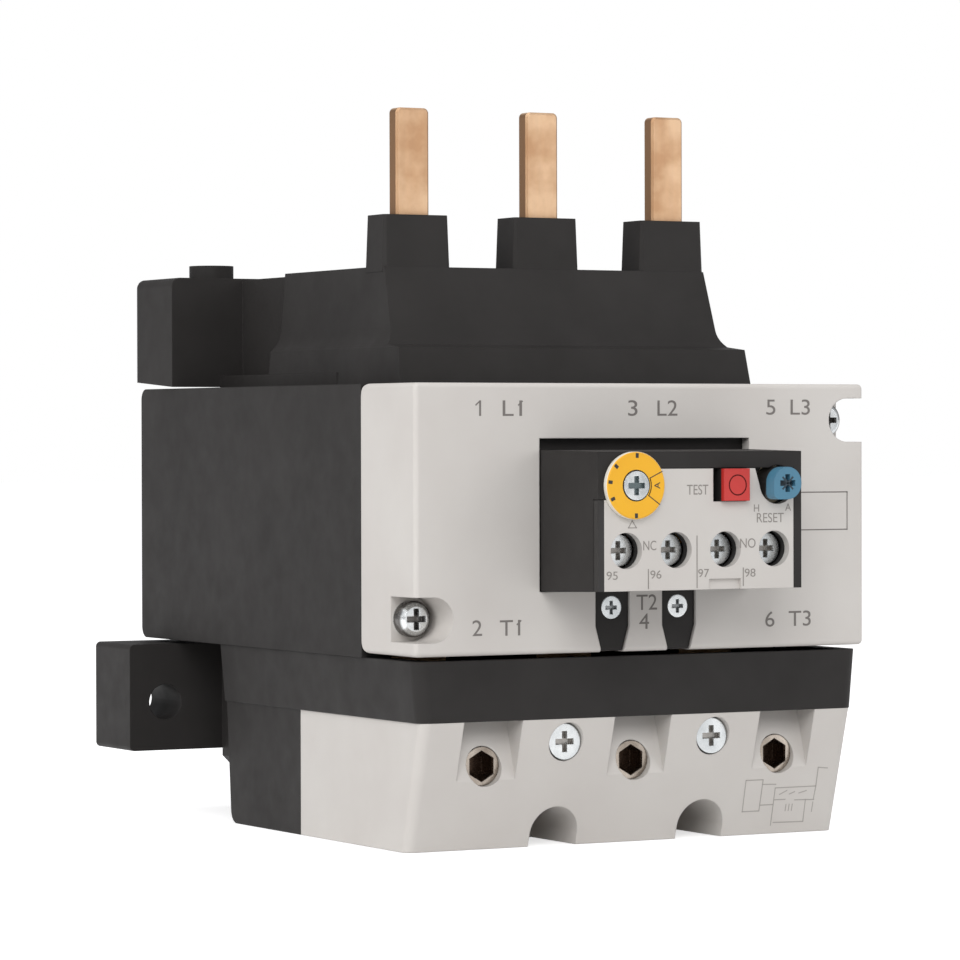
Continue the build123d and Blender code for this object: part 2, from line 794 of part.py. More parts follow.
# Upper housing: a flared hood with a turret round each pin, a plinth, a web and a ribbed rear bar
with BuildPart() as upper_housing:
    with BuildSketch(side(-flange_half_bottom)):
        with BuildLine():
            front = Line((upper_front, upper_top), (upper_front - hood_lean, bend_z))
            TangentArc((upper_front - hood_lean, bend_z), (upper_front - ledge_inner, ledge_high_z),
                       tangent=front % 1)
            Polyline((upper_front - ledge_inner, ledge_high_z), (upper_front - ledge_outer, ledge_low_z),
                     (upper_front - flange_foot, main_top), (upper_back_bottom, main_top),
                     (upper_back_top, upper_top), (upper_front, upper_top))
        make_face()
    extrude(amount=2 * flange_half_bottom)
    with BuildSketch(facing(0)):
        with BuildLine():
            for k in (-1, 1):
                flank = Line((k * upper_half_top, upper_top), (k * upper_half_bend, bend_z))
                TangentArc((k * upper_half_bend, bend_z), (k * ledge_half, ledge_high_z), tangent=flank % 1)
                Polyline((k * ledge_half, ledge_high_z), (k * flange_half_top, ledge_low_z),
                         (k * flange_half_bottom, main_top))
            Line((-upper_half_top, upper_top), (upper_half_top, upper_top))
            Line((-flange_half_bottom, main_top), (flange_half_bottom, main_top))
        make_face()
    extrude(amount=-plate_to_back, mode=Mode.INTERSECT)
    # Turrets
    for k in poles:
        with BuildSketch(level(turret_top)) as crown:
            with Locations((k * pole_pitch, turret_mid)):
                Rectangle(turret_width, turret_depth)
            chamfer(crown.vertices(), turret_chamfer)
        extrude(amount=-turret_height - overlap, taper=-degrees(atan2(turret_flare, turret_height)))
    # Plinth on the main housing's roof
    with BuildSketch(level(main_top)):
        rect(-plinth_half, plinth_half, plinth_front, upper_bar_front)
    extrude(amount=plinth_height)
    # Hollow from below, with ribs between the poles and bosses for the screws
    with BuildSketch(level(main_top)):
        rect(-upper_half_top + wall, upper_half_top - wall, upper_cavity_front, upper_back_top - wall)
        for k in (-1, 1):
            x = k * pole_pitch / 2
            rect(x - partition_wall / 2, x + partition_wall / 2, upper_cavity_front, upper_back_top - wall,
                 mode=Mode.SUBTRACT)
            disc(k * roof_screw_x, roof_screw_depths[1], inner_boss_radius, mode=Mode.SUBTRACT)
    extrude(amount=upper_top - main_top - wall, mode=Mode.SUBTRACT)
    # Slots for the line bars
    with BuildSketch(level(main_top)):
        for k in poles:
            with Locations((k * pole_pitch, pin_depth)):
                Rectangle(shoulder_width + 2 * seat_gap, pin_thickness + 2 * seat_gap)
    extrude(amount=shoulder_z + seat_gap - main_top, mode=Mode.SUBTRACT)
    with BuildSketch(level(main_top)):
        for k in poles:
            with Locations((k * pole_pitch, pin_depth)):
                Rectangle(pin_width + 2 * seat_gap, pin_thickness + 2 * seat_gap)
    extrude(amount=turret_top - main_top, mode=Mode.SUBTRACT)
    # Screw holes from below
    with BuildSketch(level(main_top)):
        for k in (-1, 1):
            disc(k * roof_screw_x, roof_screw_depths[0], inner_screw_shank / 2)
            disc(k * roof_screw_x, roof_screw_depths[1], inner_screw_shank / 2)
    extrude(amount=inner_screw_length - wall, mode=Mode.SUBTRACT)
    # Web and rear bar, cored from the back
    with BuildSketch(facing(upper_back_top - overlap)):
        rect(-upper_web_half, upper_web_half, main_top + plinth_height, upper_web_top)
    extrude(amount=upper_back_top - overlap - upper_bar_front)
    with BuildSketch(facing(upper_bar_front)) as bar:
        rect(-upper_bar_half, upper_bar_half, upper_bar_bottom, upper_bar_top)
        fillet(bar.vertices().group_by(Axis.Y)[-1], upper_bar_radius)
    extrude(amount=upper_bar_front - plate_to_back)
    with BuildSketch(side(-upper_bar_half)):
        outline((upper_bar_front, upper_bar_bottom), (plate_to_back, upper_bar_bottom),
                (plate_to_back, upper_bar_bottom + upper_bar_draft))
    extrude(amount=2 * upper_bar_half, mode=Mode.SUBTRACT)
    with BuildSketch(facing(upper_bar_front + bar_front_wall)):
        ribbed_cells(upper_bar_half - wall, upper_bar_bottom + wall, upper_bar_top - wall,
                     upper_bar_half - rib_pitch)
    extrude(amount=upper_bar_front + bar_front_wall - plate_to_back, mode=Mode.SUBTRACT)
    with BuildSketch(facing(upper_back_bottom + wall)):
        ribbed_cells(upper_web_half - wall, upper_bar_bottom + wall, upper_web_top - wall,
                     upper_web_half - wall)
    extrude(amount=upper_back_bottom + wall - upper_bar_front - bar_front_wall, mode=Mode.SUBTRACT)
    with BuildSketch(level(upper_bar_top)):
        for k in (-1, 1):
            disc(k * peg_x, peg_depth, peg_radius)
    extrude(amount=peg_height)
save(upper_housing, "upper_housing")

# Lower housing: a band over the terminals, a rear box and the ribbed rear bar with the fixing holes
with BuildPart() as lower_housing:
    with BuildSketch(level(main_bottom)) as band_top:
        rect(-band_half_top, band_half_top, band_front, lower_back_top)
        fillet(band_top.vertices().group_by(Axis.Y)[0], band_corner_radius)
    with BuildSketch(level(cover_top)) as band_low:
        rect(-band_half_bottom, band_half_bottom, band_front, lower_back_top)
        fillet(band_low.vertices().group_by(Axis.Y)[0], band_corner_radius)
    loft()
    with BuildSketch(side(-lower_box_half)):
        outline((lower_box_front, 0), (lower_back_bottom, 0), (lower_back_top, cover_top + overlap),
                (lower_box_front, cover_top + overlap))
    extrude(amount=2 * lower_box_half)
    low_back = lower_housing.edges().filter_by(Axis.X).group_by(Axis.Z)[0].sort_by(Axis.Y)[-1]
    fillet(low_back, lower_box_radius)
    # Hollow from above: the shallow band and the deep rear well
    with BuildSketch(level(cover_top + wall)):
        rect(-band_half_bottom + wall, band_half_bottom - wall, band_front + wall, lower_back_bottom - wall)
        for depth in floor_screw_depths:
            for k in (-1, 1):
                disc(k * floor_screw_x, depth, inner_boss_radius, mode=Mode.SUBTRACT)
    extrude(amount=main_bottom - cover_top - wall, mode=Mode.SUBTRACT)
    with BuildSketch(level(wall)):
        rect(-lower_box_half + wall, lower_box_half - wall, lower_box_front + wall, lower_back_bottom - wall)
        for k in (-1, 1):
            x = k * pole_pitch / 2
            rect(x - partition_wall / 2, x + partition_wall / 2, lower_box_front, lower_back_bottom,
                 mode=Mode.SUBTRACT)
            disc(k * floor_screw_x, floor_screw_depths[1], inner_boss_radius, mode=Mode.SUBTRACT)
    extrude(amount=main_bottom - wall - 2 * wall, mode=Mode.SUBTRACT)
    # Slots that hold the load bars, and the bosses for the cover screws
    with BuildSketch(level(cover_top)):
        for k in poles:
            with Locations((k * terminal_pitch, load_bar_depth)):
                Rectangle(load_bar_width + 2 * seat_gap, load_bar_thickness + 2 * seat_gap)
    extrude(amount=wall, mode=Mode.SUBTRACT)
    cover_boss_face = cover_screw_seat + cover_wall + seat_gap
    for k in (-1, 1):
        x = k * cover_screw_x
        with BuildSketch(facing(cover_boss_face)):
            disc(x, cover_screw_z, cover_boss_radius)
            rect(x - cover_boss_radius, x + cover_boss_radius, cover_screw_z, cover_top + overlap)
        extrude(amount=-cover_screw_length)
        with BuildSketch(facing(cover_boss_face)):
            disc(x, cover_screw_z, cover_screw_shank / 2)
        extrude(amount=-cover_screw_length + overlap, mode=Mode.SUBTRACT)
    # Holes for the screws from the main housing
    with BuildSketch(level(main_bottom)):
        for depth in floor_screw_depths:
            for k in (-1, 1):
                disc(k * floor_screw_x, depth, inner_screw_shank / 2)
    extrude(amount=wall - inner_screw_length, mode=Mode.SUBTRACT)
    # Web and rear bar, cored from the back
    with BuildSketch(facing(lower_back_bottom - overlap)) as web:
        rect(-lower_web_half, lower_web_half, lower_web_bottom, lower_bar_top)
        chamfer(web.vertices().group_by(Axis.Y)[0], lower_web_chamfer)
    extrude(amount=lower_back_bottom - overlap - lower_bar_front)
    with BuildSketch(facing(lower_bar_front)) as bar:
        rect(-lower_bar_half, lower_bar_half, lower_bar_bottom, lower_bar_top)
        fillet(bar.vertices(), lower_bar_radius)
    extrude(amount=lower_bar_front - plate_to_back)
    with BuildSketch(facing(lower_bar_front + bar_front_wall)):
        ribbed_cells(lower_bar_half - wall, lower_bar_bottom + wall, lower_bar_top - wall,
                     mount_hole_x - mount_boss_radius)
    extrude(amount=lower_bar_front + bar_front_wall - plate_to_back, mode=Mode.SUBTRACT)
    with BuildSketch(facing(lower_back_top)):
        ribbed_cells(lower_web_half - wall, lower_bar_bottom + wall, lower_bar_top - wall,
                     lower_web_half - wall)
    extrude(amount=lower_back_top - lower_bar_front - bar_front_wall, mode=Mode.SUBTRACT)
    with BuildSketch(facing(lower_bar_front)):
        for k in (-1, 1):
            disc(k * mount_hole_x, mount_hole_z, mount_boss_radius)
    extrude(amount=-mount_boss_length)
    with BuildSketch(facing(lower_bar_front)):
        for k in (-1, 1):
            disc(k * mount_hole_x, mount_hole_z, mount_hole_radius)
    extrude(amount=-mount_boss_length, mode=Mode.SUBTRACT)
save(lower_housing, "lower_housing")

# Terminal cover: a sloped shell with screw wells, wedge recesses, cable openings and arches
wedge_front_low = cover_face(wedge_bottom)
wedge_front_high = cover_front_top + wedge_depth
well_radius = cover_screw_hole / 2 + thin_wall
well_front = cover_face(cover_screw_z - well_radius) + cover_wall / 2
with BuildPart() as terminal_cover:
    with BuildSketch(side(-cover_half)):
        outline((cover_front_top, cover_top), (cover_front_bottom, 0), (lower_box_front, 0),
                (lower_box_front, cover_top))
    extrude(amount=2 * cover_half)
    front_corners = [e for e in terminal_cover.edges()
                     if abs(abs(e.center().X) - cover_half) < seat_gap
                     and e.center().Y < plate_y + cover_front_bottom - overlap]
    fillet(front_corners, cover_corner_radius)
    with BuildSketch(side(-cover_half + cover_wall)):
        outline((cover_front_top + cover_wall, cover_top), (cover_front_bottom + cover_wall, cover_wall),
                (lower_box_front, cover_wall), (lower_box_front, cover_top))
    extrude(amount=2 * (cover_half - cover_wall), mode=Mode.SUBTRACT)
    for k in poles:
        x = k * terminal_pitch
        with BuildSketch(side(x - wedge_half - wedge_wall)):
            outline((cover_front_top + cover_wall / 2, cover_top),
                    (wedge_front_low + cover_wall / 2, wedge_bottom),
                    (wedge_front_low + cover_wall, wedge_bottom),
                    (wedge_front_high + wedge_wall, cover_top))
        extrude(amount=2 * (wedge_half + wedge_wall))
        with BuildSketch(side(x - wedge_half)):
            outline((cover_front_top - overlap, cover_top + overlap),
                    (cover_front_top - overlap, wedge_bottom),
                    (wedge_front_low, wedge_bottom), (wedge_front_high, cover_top),
                    (wedge_front_high, cover_top + overlap))
        extrude(amount=2 * wedge_half, mode=Mode.SUBTRACT)
        with BuildSketch(facing(0)):
            disc(x, clamp_z, clamp_hole / 2)
        extrude(amount=-wedge_front_high - wedge_wall - overlap, mode=Mode.SUBTRACT)
        with BuildSketch(level(0)):
            rect(x - cable_half_width, x + cable_half_width, cable_front, cable_back)
        extrude(amount=cover_wall, mode=Mode.SUBTRACT)
    for k in (-1, 1):
        x = k * arch_x
        for reach, end, mode in ((arch_half + arch_wall, arch_depth + arch_wall, Mode.ADD),
                                 (arch_half, arch_depth, Mode.SUBTRACT)):
            middle = arch_top - arch_half
            with BuildSketch(facing(0 if mode == Mode.SUBTRACT else cover_front_bottom)):
                disc(x, middle, reach)
                rect(x - reach, x + reach, 0, middle)
                rect(x - reach, x + reach, -reach, 0, mode=Mode.SUBTRACT)
            start = 0 if mode == Mode.SUBTRACT else cover_front_bottom
            extrude(amount=start - end, mode=mode)
        x = k * cover_screw_x
        with BuildSketch(facing(well_front)):
            disc(x, cover_screw_z, well_radius)
            rect(x - cover_half, x + cover_half, cover_top, cover_top + cover_half, mode=Mode.SUBTRACT)
        extrude(amount=well_front - cover_screw_seat - cover_wall)
        with BuildSketch(facing(0)):
            disc(x, cover_screw_z, cover_screw_hole / 2)
        extrude(amount=-cover_screw_seat, mode=Mode.SUBTRACT)
        with BuildSketch(facing(cover_screw_seat)):
            disc(x, cover_screw_z, cover_screw_shank / 2 + running_gap)
        extrude(amount=-2 * cover_wall, mode=Mode.SUBTRACT)
save(terminal_cover, "terminal_cover")

# Power path of each pole: line bar, bimetal, sleeve, heater coil, load bar, clamp screw and cage
for index, k in enumerate(poles, start=1):
    x = k * pole_pitch
    with BuildPart() as line_bar:
        with BuildSketch(facing(pin_depth - pin_thickness / 2)) as pin:
            rect(x - pin_width / 2, x + pin_width / 2, shoulder_z, pin_top)
            fillet(pin.vertices().group_by(Axis.Y)[-1], pin_corner_radius)
        extrude(amount=-pin_thickness)
        broad_faces = line_bar.faces().filter_by(Axis.Y)
        chamfer([e for e in broad_faces.edges() if e.center().Z > shoulder_z + overlap], pin_edge)
        with BuildSketch(side(x - shoulder_width / 2)):
            outline((pin_depth - pin_thickness / 2, shoulder_z), (pin_depth - pin_thickness / 2, foot_z),
                    (foot_back, foot_z), (foot_back, foot_z + pin_thickness),
                    (pin_depth + pin_thickness / 2, foot_z + pin_thickness),
                    (pin_depth + pin_thickness / 2, shoulder_z))
        extrude(amount=shoulder_width)
    save(line_bar, f"line_bar_{index}")

    with BuildPart() as bimetal:
        with BuildSketch(level(bimetal_bottom)):
            with Locations((x, bimetal_depth)):
                Rectangle(bimetal_thickness, bimetal_width)
        extrude(amount=foot_z - bimetal_bottom)
    save(bimetal, f"bimetal_strip_{index}")

    with BuildPart() as sleeve:
        with BuildSketch(level(sleeve_bottom)):
            with Locations((x, bimetal_depth)):
                Rectangle(bimetal_thickness + 2 * (sleeve_gap + sleeve_wall),
                          bimetal_width + 2 * (sleeve_gap + sleeve_wall))
                Rectangle(bimetal_thickness + 2 * sleeve_gap, bimetal_width + 2 * sleeve_gap,
                          mode=Mode.SUBTRACT)
        extrude(amount=sleeve_top - sleeve_bottom)
    save(sleeve, f"heater_sleeve_{index}")

    outer_x = coil_half_x + coil_ribbon
    outer_y = coil_half_y + coil_ribbon
    with BuildPart() as coil:
        for turn in range(coil_turns):
            z = coil_bottom + turn * coil_pitch
            with BuildSketch(level(z)):
                rect(x - outer_x, x + outer_x, bimetal_depth - outer_y, bimetal_depth + outer_y)
                rect(x - coil_half_x, x + coil_half_x, bimetal_depth - coil_half_y,
                     bimetal_depth + outer_y, mode=Mode.SUBTRACT)
            extrude(amount=coil_height)
            if turn + 1 < coil_turns:
                with BuildSketch(facing(bimetal_depth + coil_half_y)):
                    outline((x - outer_x, z), (x + outer_x, z + coil_pitch),
                            (x + outer_x, z + coil_pitch + coil_height), (x - outer_x, z + coil_height))
                extrude(amount=-coil_ribbon)
        top_of_coil = coil_bottom + (coil_turns - 1) * coil_pitch + coil_height
        with BuildSketch(facing(coil_front)):
            rect(x - lead_width / 2, x + lead_width / 2, top_of_coil - coil_height, foot_z)
            rect(x - lead_width / 2, x + lead_width / 2, coil_bottom - lead_drop, coil_bottom + coil_height)
        extrude(amount=-coil_ribbon)
        with BuildSketch(level(coil_bottom - lead_drop)):
            rect(x - lead_width / 2, x + lead_width / 2, load_bar_back, coil_front + coil_ribbon)
        extrude(amount=coil_ribbon)
    save(coil, f"heater_coil_{index}")

    x = k * terminal_pitch
    with BuildPart() as load_bar:
        with BuildSketch(facing(load_bar_front)) as strap:
            rect(x - load_bar_width / 2, x + load_bar_width / 2, load_bar_bottom, load_bar_top)
            chamfer(strap.vertices().group_by(Axis.Y)[0], load_bar_chamfer)
        extrude(amount=-load_bar_thickness)
    save(load_bar, f"load_bar_{index}")

    with BuildPart() as clamp_screw:
        with BuildSketch(facing(clamp_front)):
            disc(x, clamp_z, clamp_neck / 2)
        extrude(amount=clamp_front - clamp_thread_start)
        with BuildSketch(facing(clamp_thread_start)):
            disc(x, clamp_z, clamp_thread / 2)
        extrude(amount=clamp_thread_start - load_bar_front + clamp_tip_gap)
        with BuildSketch(facing(clamp_front)):
            with Locations((x, clamp_z)):
                RegularPolygon(clamp_socket / 2, 6, major_radius=False, rotation=30)
        extrude(amount=-clamp_socket_depth, mode=Mode.SUBTRACT)
    save(clamp_screw, f"clamp_screw_{index}")

    with BuildPart() as clamp_cage:
        with BuildSketch(level(cage_bottom)):
            rect(x - cage_half_width, x + cage_half_width, cage_front, cage_back_inner + cage_back_wall)
            rect(x - cage_half_width + cage_side_wall, x + cage_half_width - cage_side_wall,
                 cage_front + cage_front_wall, cage_back_inner, mode=Mode.SUBTRACT)
        extrude(amount=cage_height)
        chamfer(clamp_cage.edges().filter_by(Axis.Z).group_by(Axis.Y)[-1], cage_chamfer)
        with BuildSketch(facing(cage_front)):
            disc(x, clamp_z, clamp_thread / 2 + running_gap)
        extrude(amount=-cage_front_wall, mode=Mode.SUBTRACT)
    save(clamp_cage, f"clamp_cage_{index}")

# Screws seen from the front
with BuildPart() as plate_screws:
    for x, z in plate_screws_at:
        front_screw(x, z, pocket_floor - plate_screw_head_height, plate_screw_head,
                    plate_screw_head_height, plate_screw_shank, plate_screw_length, plate_screw_bevel)
save(plate_screws, "plate_screws")

with BuildPart() as cover_screws:
    for k in (-1, 1):
        front_screw(k * cover_screw_x, cover_screw_z, cover_screw_seat - cover_screw_head_height,
                    cover_screw_head, cover_screw_head_height, cover_screw_shank, cover_screw_length)
save(cover_screws, "cover_screws")

with BuildPart() as lug_screws:
    for k in (-1, 1):
        front_screw(k * lug_x, lug_screw_z, lug_face, lug_screw_head, lug_screw_head_height,
                    lug_screw_shank, lug_screw_length)
save(lug_screws, "lug_screws")

# Screws inside, up into the upper housing and down into the lower one
with BuildPart() as roof_screws:
    for depth in roof_screw_depths:
        for k in (-1, 1):
            level_screw(k * roof_screw_x, depth, main_top - wall, True)
save(roof_screws, "roof_screws")

with BuildPart() as floor_screws:
    for depth in floor_screw_depths:
        for k in (-1, 1):
            level_screw(k * floor_screw_x, depth, main_bottom + wall, False)
save(floor_screws, "floor_screws")

# Release housing: a tapered block through the plate, with a flange, two lugs and a bulkhead
with BuildPart() as release_housing:
    with BuildSketch(facing(block_front)):
        rect(-block_half_front, block_half_front, block_bottom_front, block_top_front)
    with BuildSketch(facing(0)):
        rect(-block_half_plate, block_half_plate, block_bottom_plate, block_top_plate)
    loft()
    with BuildSketch(facing(0)):
        rect(-tail_half, tail_half, block_bottom_plate + seat_gap, block_top_plate)
    extrude(amount=-block_back)
    with BuildSketch(facing(plate_wall + seat_gap)):
        rect(-cutout_half - block_flange_margin, cutout_half + block_flange_margin,
             cutout_bottom, cutout_top + block_flange_margin)
    extrude(amount=-block_flange)
    for k in (-1, 1):
        with BuildSketch(facing(lug_face)):
            lug_outline(k * lug_x)
        extrude(amount=lug_face - lug_back)
    with BuildSketch(facing(wall_back)):
        rect(-block_inner_half, block_inner_half, block_inner_bottom, block_inner_top)
    extrude(amount=wall_back - block_back, mode=Mode.SUBTRACT)
    # Seat of the panel
    with BuildSketch(facing(block_front)):
        rect(-half, panel_right, block_bottom_front - wall, panel_top)
        rect(-half, panel_step_x, panel_step_z, panel_top, mode=Mode.SUBTRACT)
    extrude(amount=-panel_thickness, mode=Mode.SUBTRACT)
    with BuildSketch(facing(block_front)):
        disc(reset_x, reset_z, reset_radius + moving_gap)
    extrude(amount=-panel_thickness, mode=Mode.SUBTRACT)
    # Holes in the wall behind the panel
    with BuildSketch(facing(wall_front)):
        for x in aux_xs:
            disc(x, aux_z, aux_hole / 2)
        rect(test_slot_left, test_right + test_gap, test_bottom - test_gap, panel_top)
        disc(reset_x, reset_z, reset_notch_radius)
        disc(dial_x, dial_z, spindle_radius + running_gap)
    extrude(amount=-block_wall, mode=Mode.SUBTRACT)
    # Bulkhead that carries the spindle and the stems
    with BuildSketch(facing(bulkhead_depth)):
        rect(-block_inner_half, block_inner_half, bulkhead_bottom, block_inner_top)
        disc(dial_x, dial_z, spindle_radius + running_gap, mode=Mode.SUBTRACT)
        disc(reset_x, reset_z, plunger_radius + running_gap, mode=Mode.SUBTRACT)
        with Locations((test_x, test_z)):
            Rectangle(stem_side + 2 * running_gap, stem_side + 2 * running_gap, mode=Mode.SUBTRACT)
    extrude(amount=-bulkhead_wall)
    # Ledges that the contact carrier slides on, and ribs that hold the terminal strips
    with BuildSketch(level(block_inner_bottom)):
        for k in (-1, 1):
            inner = k * block_inner_half
            rect(min(inner, inner - k * ledge_width), max(inner, inner - k * ledge_width),
                 ledge_front, ledge_back)
    extrude(amount=carrier_bottom - running_gap - block_inner_bottom)
    with BuildSketch(level(block_inner_bottom)):
        for x in aux_xs:
            rect(x - strip_half, x + strip_half, strip_front, strip_front + strip_thickness)
    extrude(amount=strip_bottom - block_inner_bottom)
    # Wire openings from below
    with BuildSketch(level(block_bottom_plate)):
        for x in aux_xs:
            rect(x - wire_entry_half, x + wire_entry_half, aux_plate_front, strip_front)
    extrude(amount=block_inner_bottom - block_bottom_plate, mode=Mode.SUBTRACT)
    # Step under the lever
    with BuildSketch(level(block_inner_bottom)):
        disc(lever_x, lever_depth, lever_hub_radius)
    extrude(amount=lever_bottom - running_gap - block_inner_bottom)
    # Holes for the lug screws and the lever's pin
    with BuildSketch(facing(lug_face)):
        for k in (-1, 1):
            disc(k * lug_x, lug_screw_z, lug_screw_head / 2 + running_gap)
    extrude(amount=-lug_screw_head_height, mode=Mode.SUBTRACT)
    with BuildSketch(facing(lug_face)):
        for k in (-1, 1):
            disc(k * lug_x, lug_screw_z, lug_screw_shank / 2 + running_gap)
    extrude(amount=lug_face - lug_back, mode=Mode.SUBTRACT)
    with BuildSketch(level(block_bottom_plate)):
        disc(lever_x, lever_depth, lever_pin_radius)
    extrude(amount=lever_bottom - block_bottom_plate, mode=Mode.SUBTRACT)
save(release_housing, "release_housing")

# Release panel: the grey face with its openings
with BuildPart() as release_panel:
    with BuildSketch(facing(wall_front)):
        rect(-block_half_front, panel_right - panel_fit, block_bottom_front, panel_top - panel_fit)
        rect(-half, panel_step_x + panel_fit, panel_step_z - panel_fit, panel_top, mode=Mode.SUBTRACT)
        for x in aux_xs:
            disc(x, aux_z, aux_hole / 2, mode=Mode.SUBTRACT)
        disc(dial_x, dial_z, spindle_radius + running_gap, mode=Mode.SUBTRACT)
        rect(test_slot_left, test_right + test_gap, test_bottom - test_gap, panel_top, mode=Mode.SUBTRACT)
        disc(reset_x, reset_z, reset_notch_radius, mode=Mode.SUBTRACT)
        rect(reset_notch_low_x, half, reset_notch_low_z, panel_top, mode=Mode.SUBTRACT)
    extrude(amount=panel_thickness)
    with BuildSketch(facing(wall_front)):
        outline((reset_notch_x, panel_top), (reset_notch_low_x, reset_notch_low_z),
                (reset_x, reset_notch_low_z), (reset_x, panel_top))
    extrude(amount=panel_thickness, mode=Mode.SUBTRACT)
    with BuildSketch(facing(block_front)):
        rect(latch_left, latch_right, block_bottom_front - overlap, latch_top)
    extrude(amount=-latch_deep, mode=Mode.SUBTRACT)
save(release_panel, "release_panel")

# Setting dial and its spindle with the cam
dial_back = block_front - seat_gap
with BuildPart() as dial:
    with BuildSketch(facing(dial_front)):
        disc(dial_x, dial_z, dial_radius)
    extrude(amount=dial_front - dial_back)
    chamfer(dial.faces().sort_by(Axis.Y)[0].edges(), dial_chamfer)
    with BuildSketch(facing(dial_front)):
        disc(dial_x, dial_z, spindle_head / 2 + running_gap)
    extrude(amount=-spindle_head_height + spindle_head_proud, mode=Mode.SUBTRACT)
    with BuildSketch(facing(dial_front)):
        disc(dial_x, dial_z, spindle_radius)
    extrude(amount=dial_front - dial_back, mode=Mode.SUBTRACT)
save(dial, "dial")

with BuildPart() as dial_spindle:
    with BuildSketch(facing(spindle_front)):
        disc(dial_x, dial_z, spindle_head / 2)
    extrude(amount=-spindle_head_height)
    with BuildSketch(facing(spindle_front + spindle_head_height)):
        disc(dial_x, dial_z, spindle_radius)
    extrude(amount=spindle_front + spindle_head_height - spindle_back)
    with BuildSketch(facing(cam_front)):
        disc(dial_x, dial_z + cam_offset, cam_radius)
    extrude(amount=cam_front - cam_back)
    cross_cut(dial_x, dial_z, spindle_front, spindle_cross, spindle_slot, spindle_cross_deep)
save(dial_spindle, "dial_spindle")

# Test button
with BuildPart() as test_button:
    with BuildSketch(facing(test_front)):
        rect(test_left, test_right, test_bottom, test_top)
    extrude(amount=test_front - collar_front)
    with BuildSketch(facing(collar_front)):
        rect(test_slot_left - test_collar_margin, test_right + test_collar_margin,
             test_bottom - test_collar_margin, panel_top + test_collar_margin)
    extrude(amount=-collar_thickness)
    with BuildSketch(facing(test_collar_back)):
        with Locations((test_x, test_z)):
            Rectangle(stem_side, stem_side)
    extrude(amount=test_collar_back - test_stem_back)
save(test_button, "test_button")

# Reset knob on its plunger
with BuildPart() as reset_knob:
    with BuildSketch(facing(reset_front)) as teardrop:
        disc(reset_x, reset_z, reset_radius)
        rect(reset_x - reset_radius, reset_x, reset_z - reset_radius, reset_z)
        fillet(teardrop.vertices().group_by(Axis.X)[0].sort_by(Axis.Y)[0], reset_corner_radius)
    extrude(amount=reset_front - collar_front + seat_gap)
    with BuildSketch(facing(reset_front)):
        disc(reset_x, reset_z, reset_spigot_radius)
    extrude(amount=reset_front - reset_spigot_back)
    cross_cut(reset_x, reset_z, reset_front, reset_cross, reset_slot, reset_cross_deep)
save(reset_knob, "reset_knob")

with BuildPart() as reset_plunger:
    with BuildSketch(facing(collar_front)):
        disc(reset_x, reset_z, reset_collar_radius)
        rect(reset_x + reset_collar_flat, half, 0, upper_top, mode=Mode.SUBTRACT)
    extrude(amount=-reset_collar_thickness)
    with BuildSketch(facing(reset_collar_back)):
        disc(reset_x, reset_z, plunger_radius)
    extrude(amount=reset_collar_back - plunger_back)
    with BuildSketch(facing(collar_front)):
        disc(reset_x, reset_z, reset_spigot_radius + running_gap)
    extrude(amount=collar_front - plunger_bore_back, mode=Mode.SUBTRACT)
save(reset_plunger, "reset_plunger")


def spring(x, z, front, radius, label):
    """A compression spring from a collar to the bulkhead, its wire drawn six-sided."""
    start = front + spring_wire / 2 + running_gap
    length = bulkhead_depth - spring_wire / 2 - running_gap - start
    with BuildPart() as coil_spring:
        with BuildLine() as helix:
            Helix(pitch=length / spring_turns, height=length, radius=radius,
                  center=(x, plate_y + start, z), direction=(0, 1, 0))
        with BuildSketch(Plane(helix.line @ 0, z_dir=helix.line % 0)):
            RegularPolygon(spring_wire / 2, 6)
        sweep(is_frenet=True)
    save(coil_spring, label)


stem_corner = stem_side / sqrt(2)
spring(test_x, test_z, test_collar_back, stem_corner + spring_clear + spring_wire / 2, "test_spring")
spring(reset_x, reset_z, reset_collar_back, plunger_radius + spring_clear + spring_wire / 2, "reset_spring")

# Auxiliary terminals: a screw with its clamp plate, and the strip that ends in a fixed contact
for index, x in enumerate(aux_xs, start=1):
    with BuildPart() as aux_screw:
        front_screw(x, aux_z, aux_head_front, aux_head, aux_head_height, aux_thread, aux_thread_length)
    save(aux_screw, f"aux_screw_{index}")

    with BuildPart() as aux_clamp:
        with BuildSketch(facing(aux_plate_front)):
            with Locations((x, aux_z)):
                Rectangle(aux_plate_side, aux_plate_side)
            disc(x, aux_z, aux_thread / 2 + running_gap, mode=Mode.SUBTRACT)
        extrude(amount=-aux_plate_thickness)
    save(aux_clamp, f"aux_clamp_plate_{index}")

with BuildPart() as nc_terminals:
    for x in aux_xs[:2]:
        with BuildSketch(facing(strip_front)):
            rect(x - strip_half, x + strip_half, strip_bottom, strip_top)
            disc(x, aux_z, aux_thread / 2 + running_gap, mode=Mode.SUBTRACT)
        extrude(amount=-strip_thickness)
        with BuildSketch(side(x - tongue_half)):
            outline((strip_back - strip_bend, strip_top),
                    (strip_back - strip_bend, strip_top - tongue_thickness),
                    (closed_tongue_front, strip_top - tongue_thickness), (closed_tongue_front, tongue_bottom),
                    (closed_tongue_front + tongue_thickness, tongue_bottom),
                    (closed_tongue_front + tongue_thickness, strip_top))
        extrude(amount=2 * tongue_half)
        with BuildSketch(facing(closed_tongue_front)):
            disc(x, contact_z, rivet_radius)
        extrude(amount=rivet_height)
save(nc_terminals, "nc_terminals")

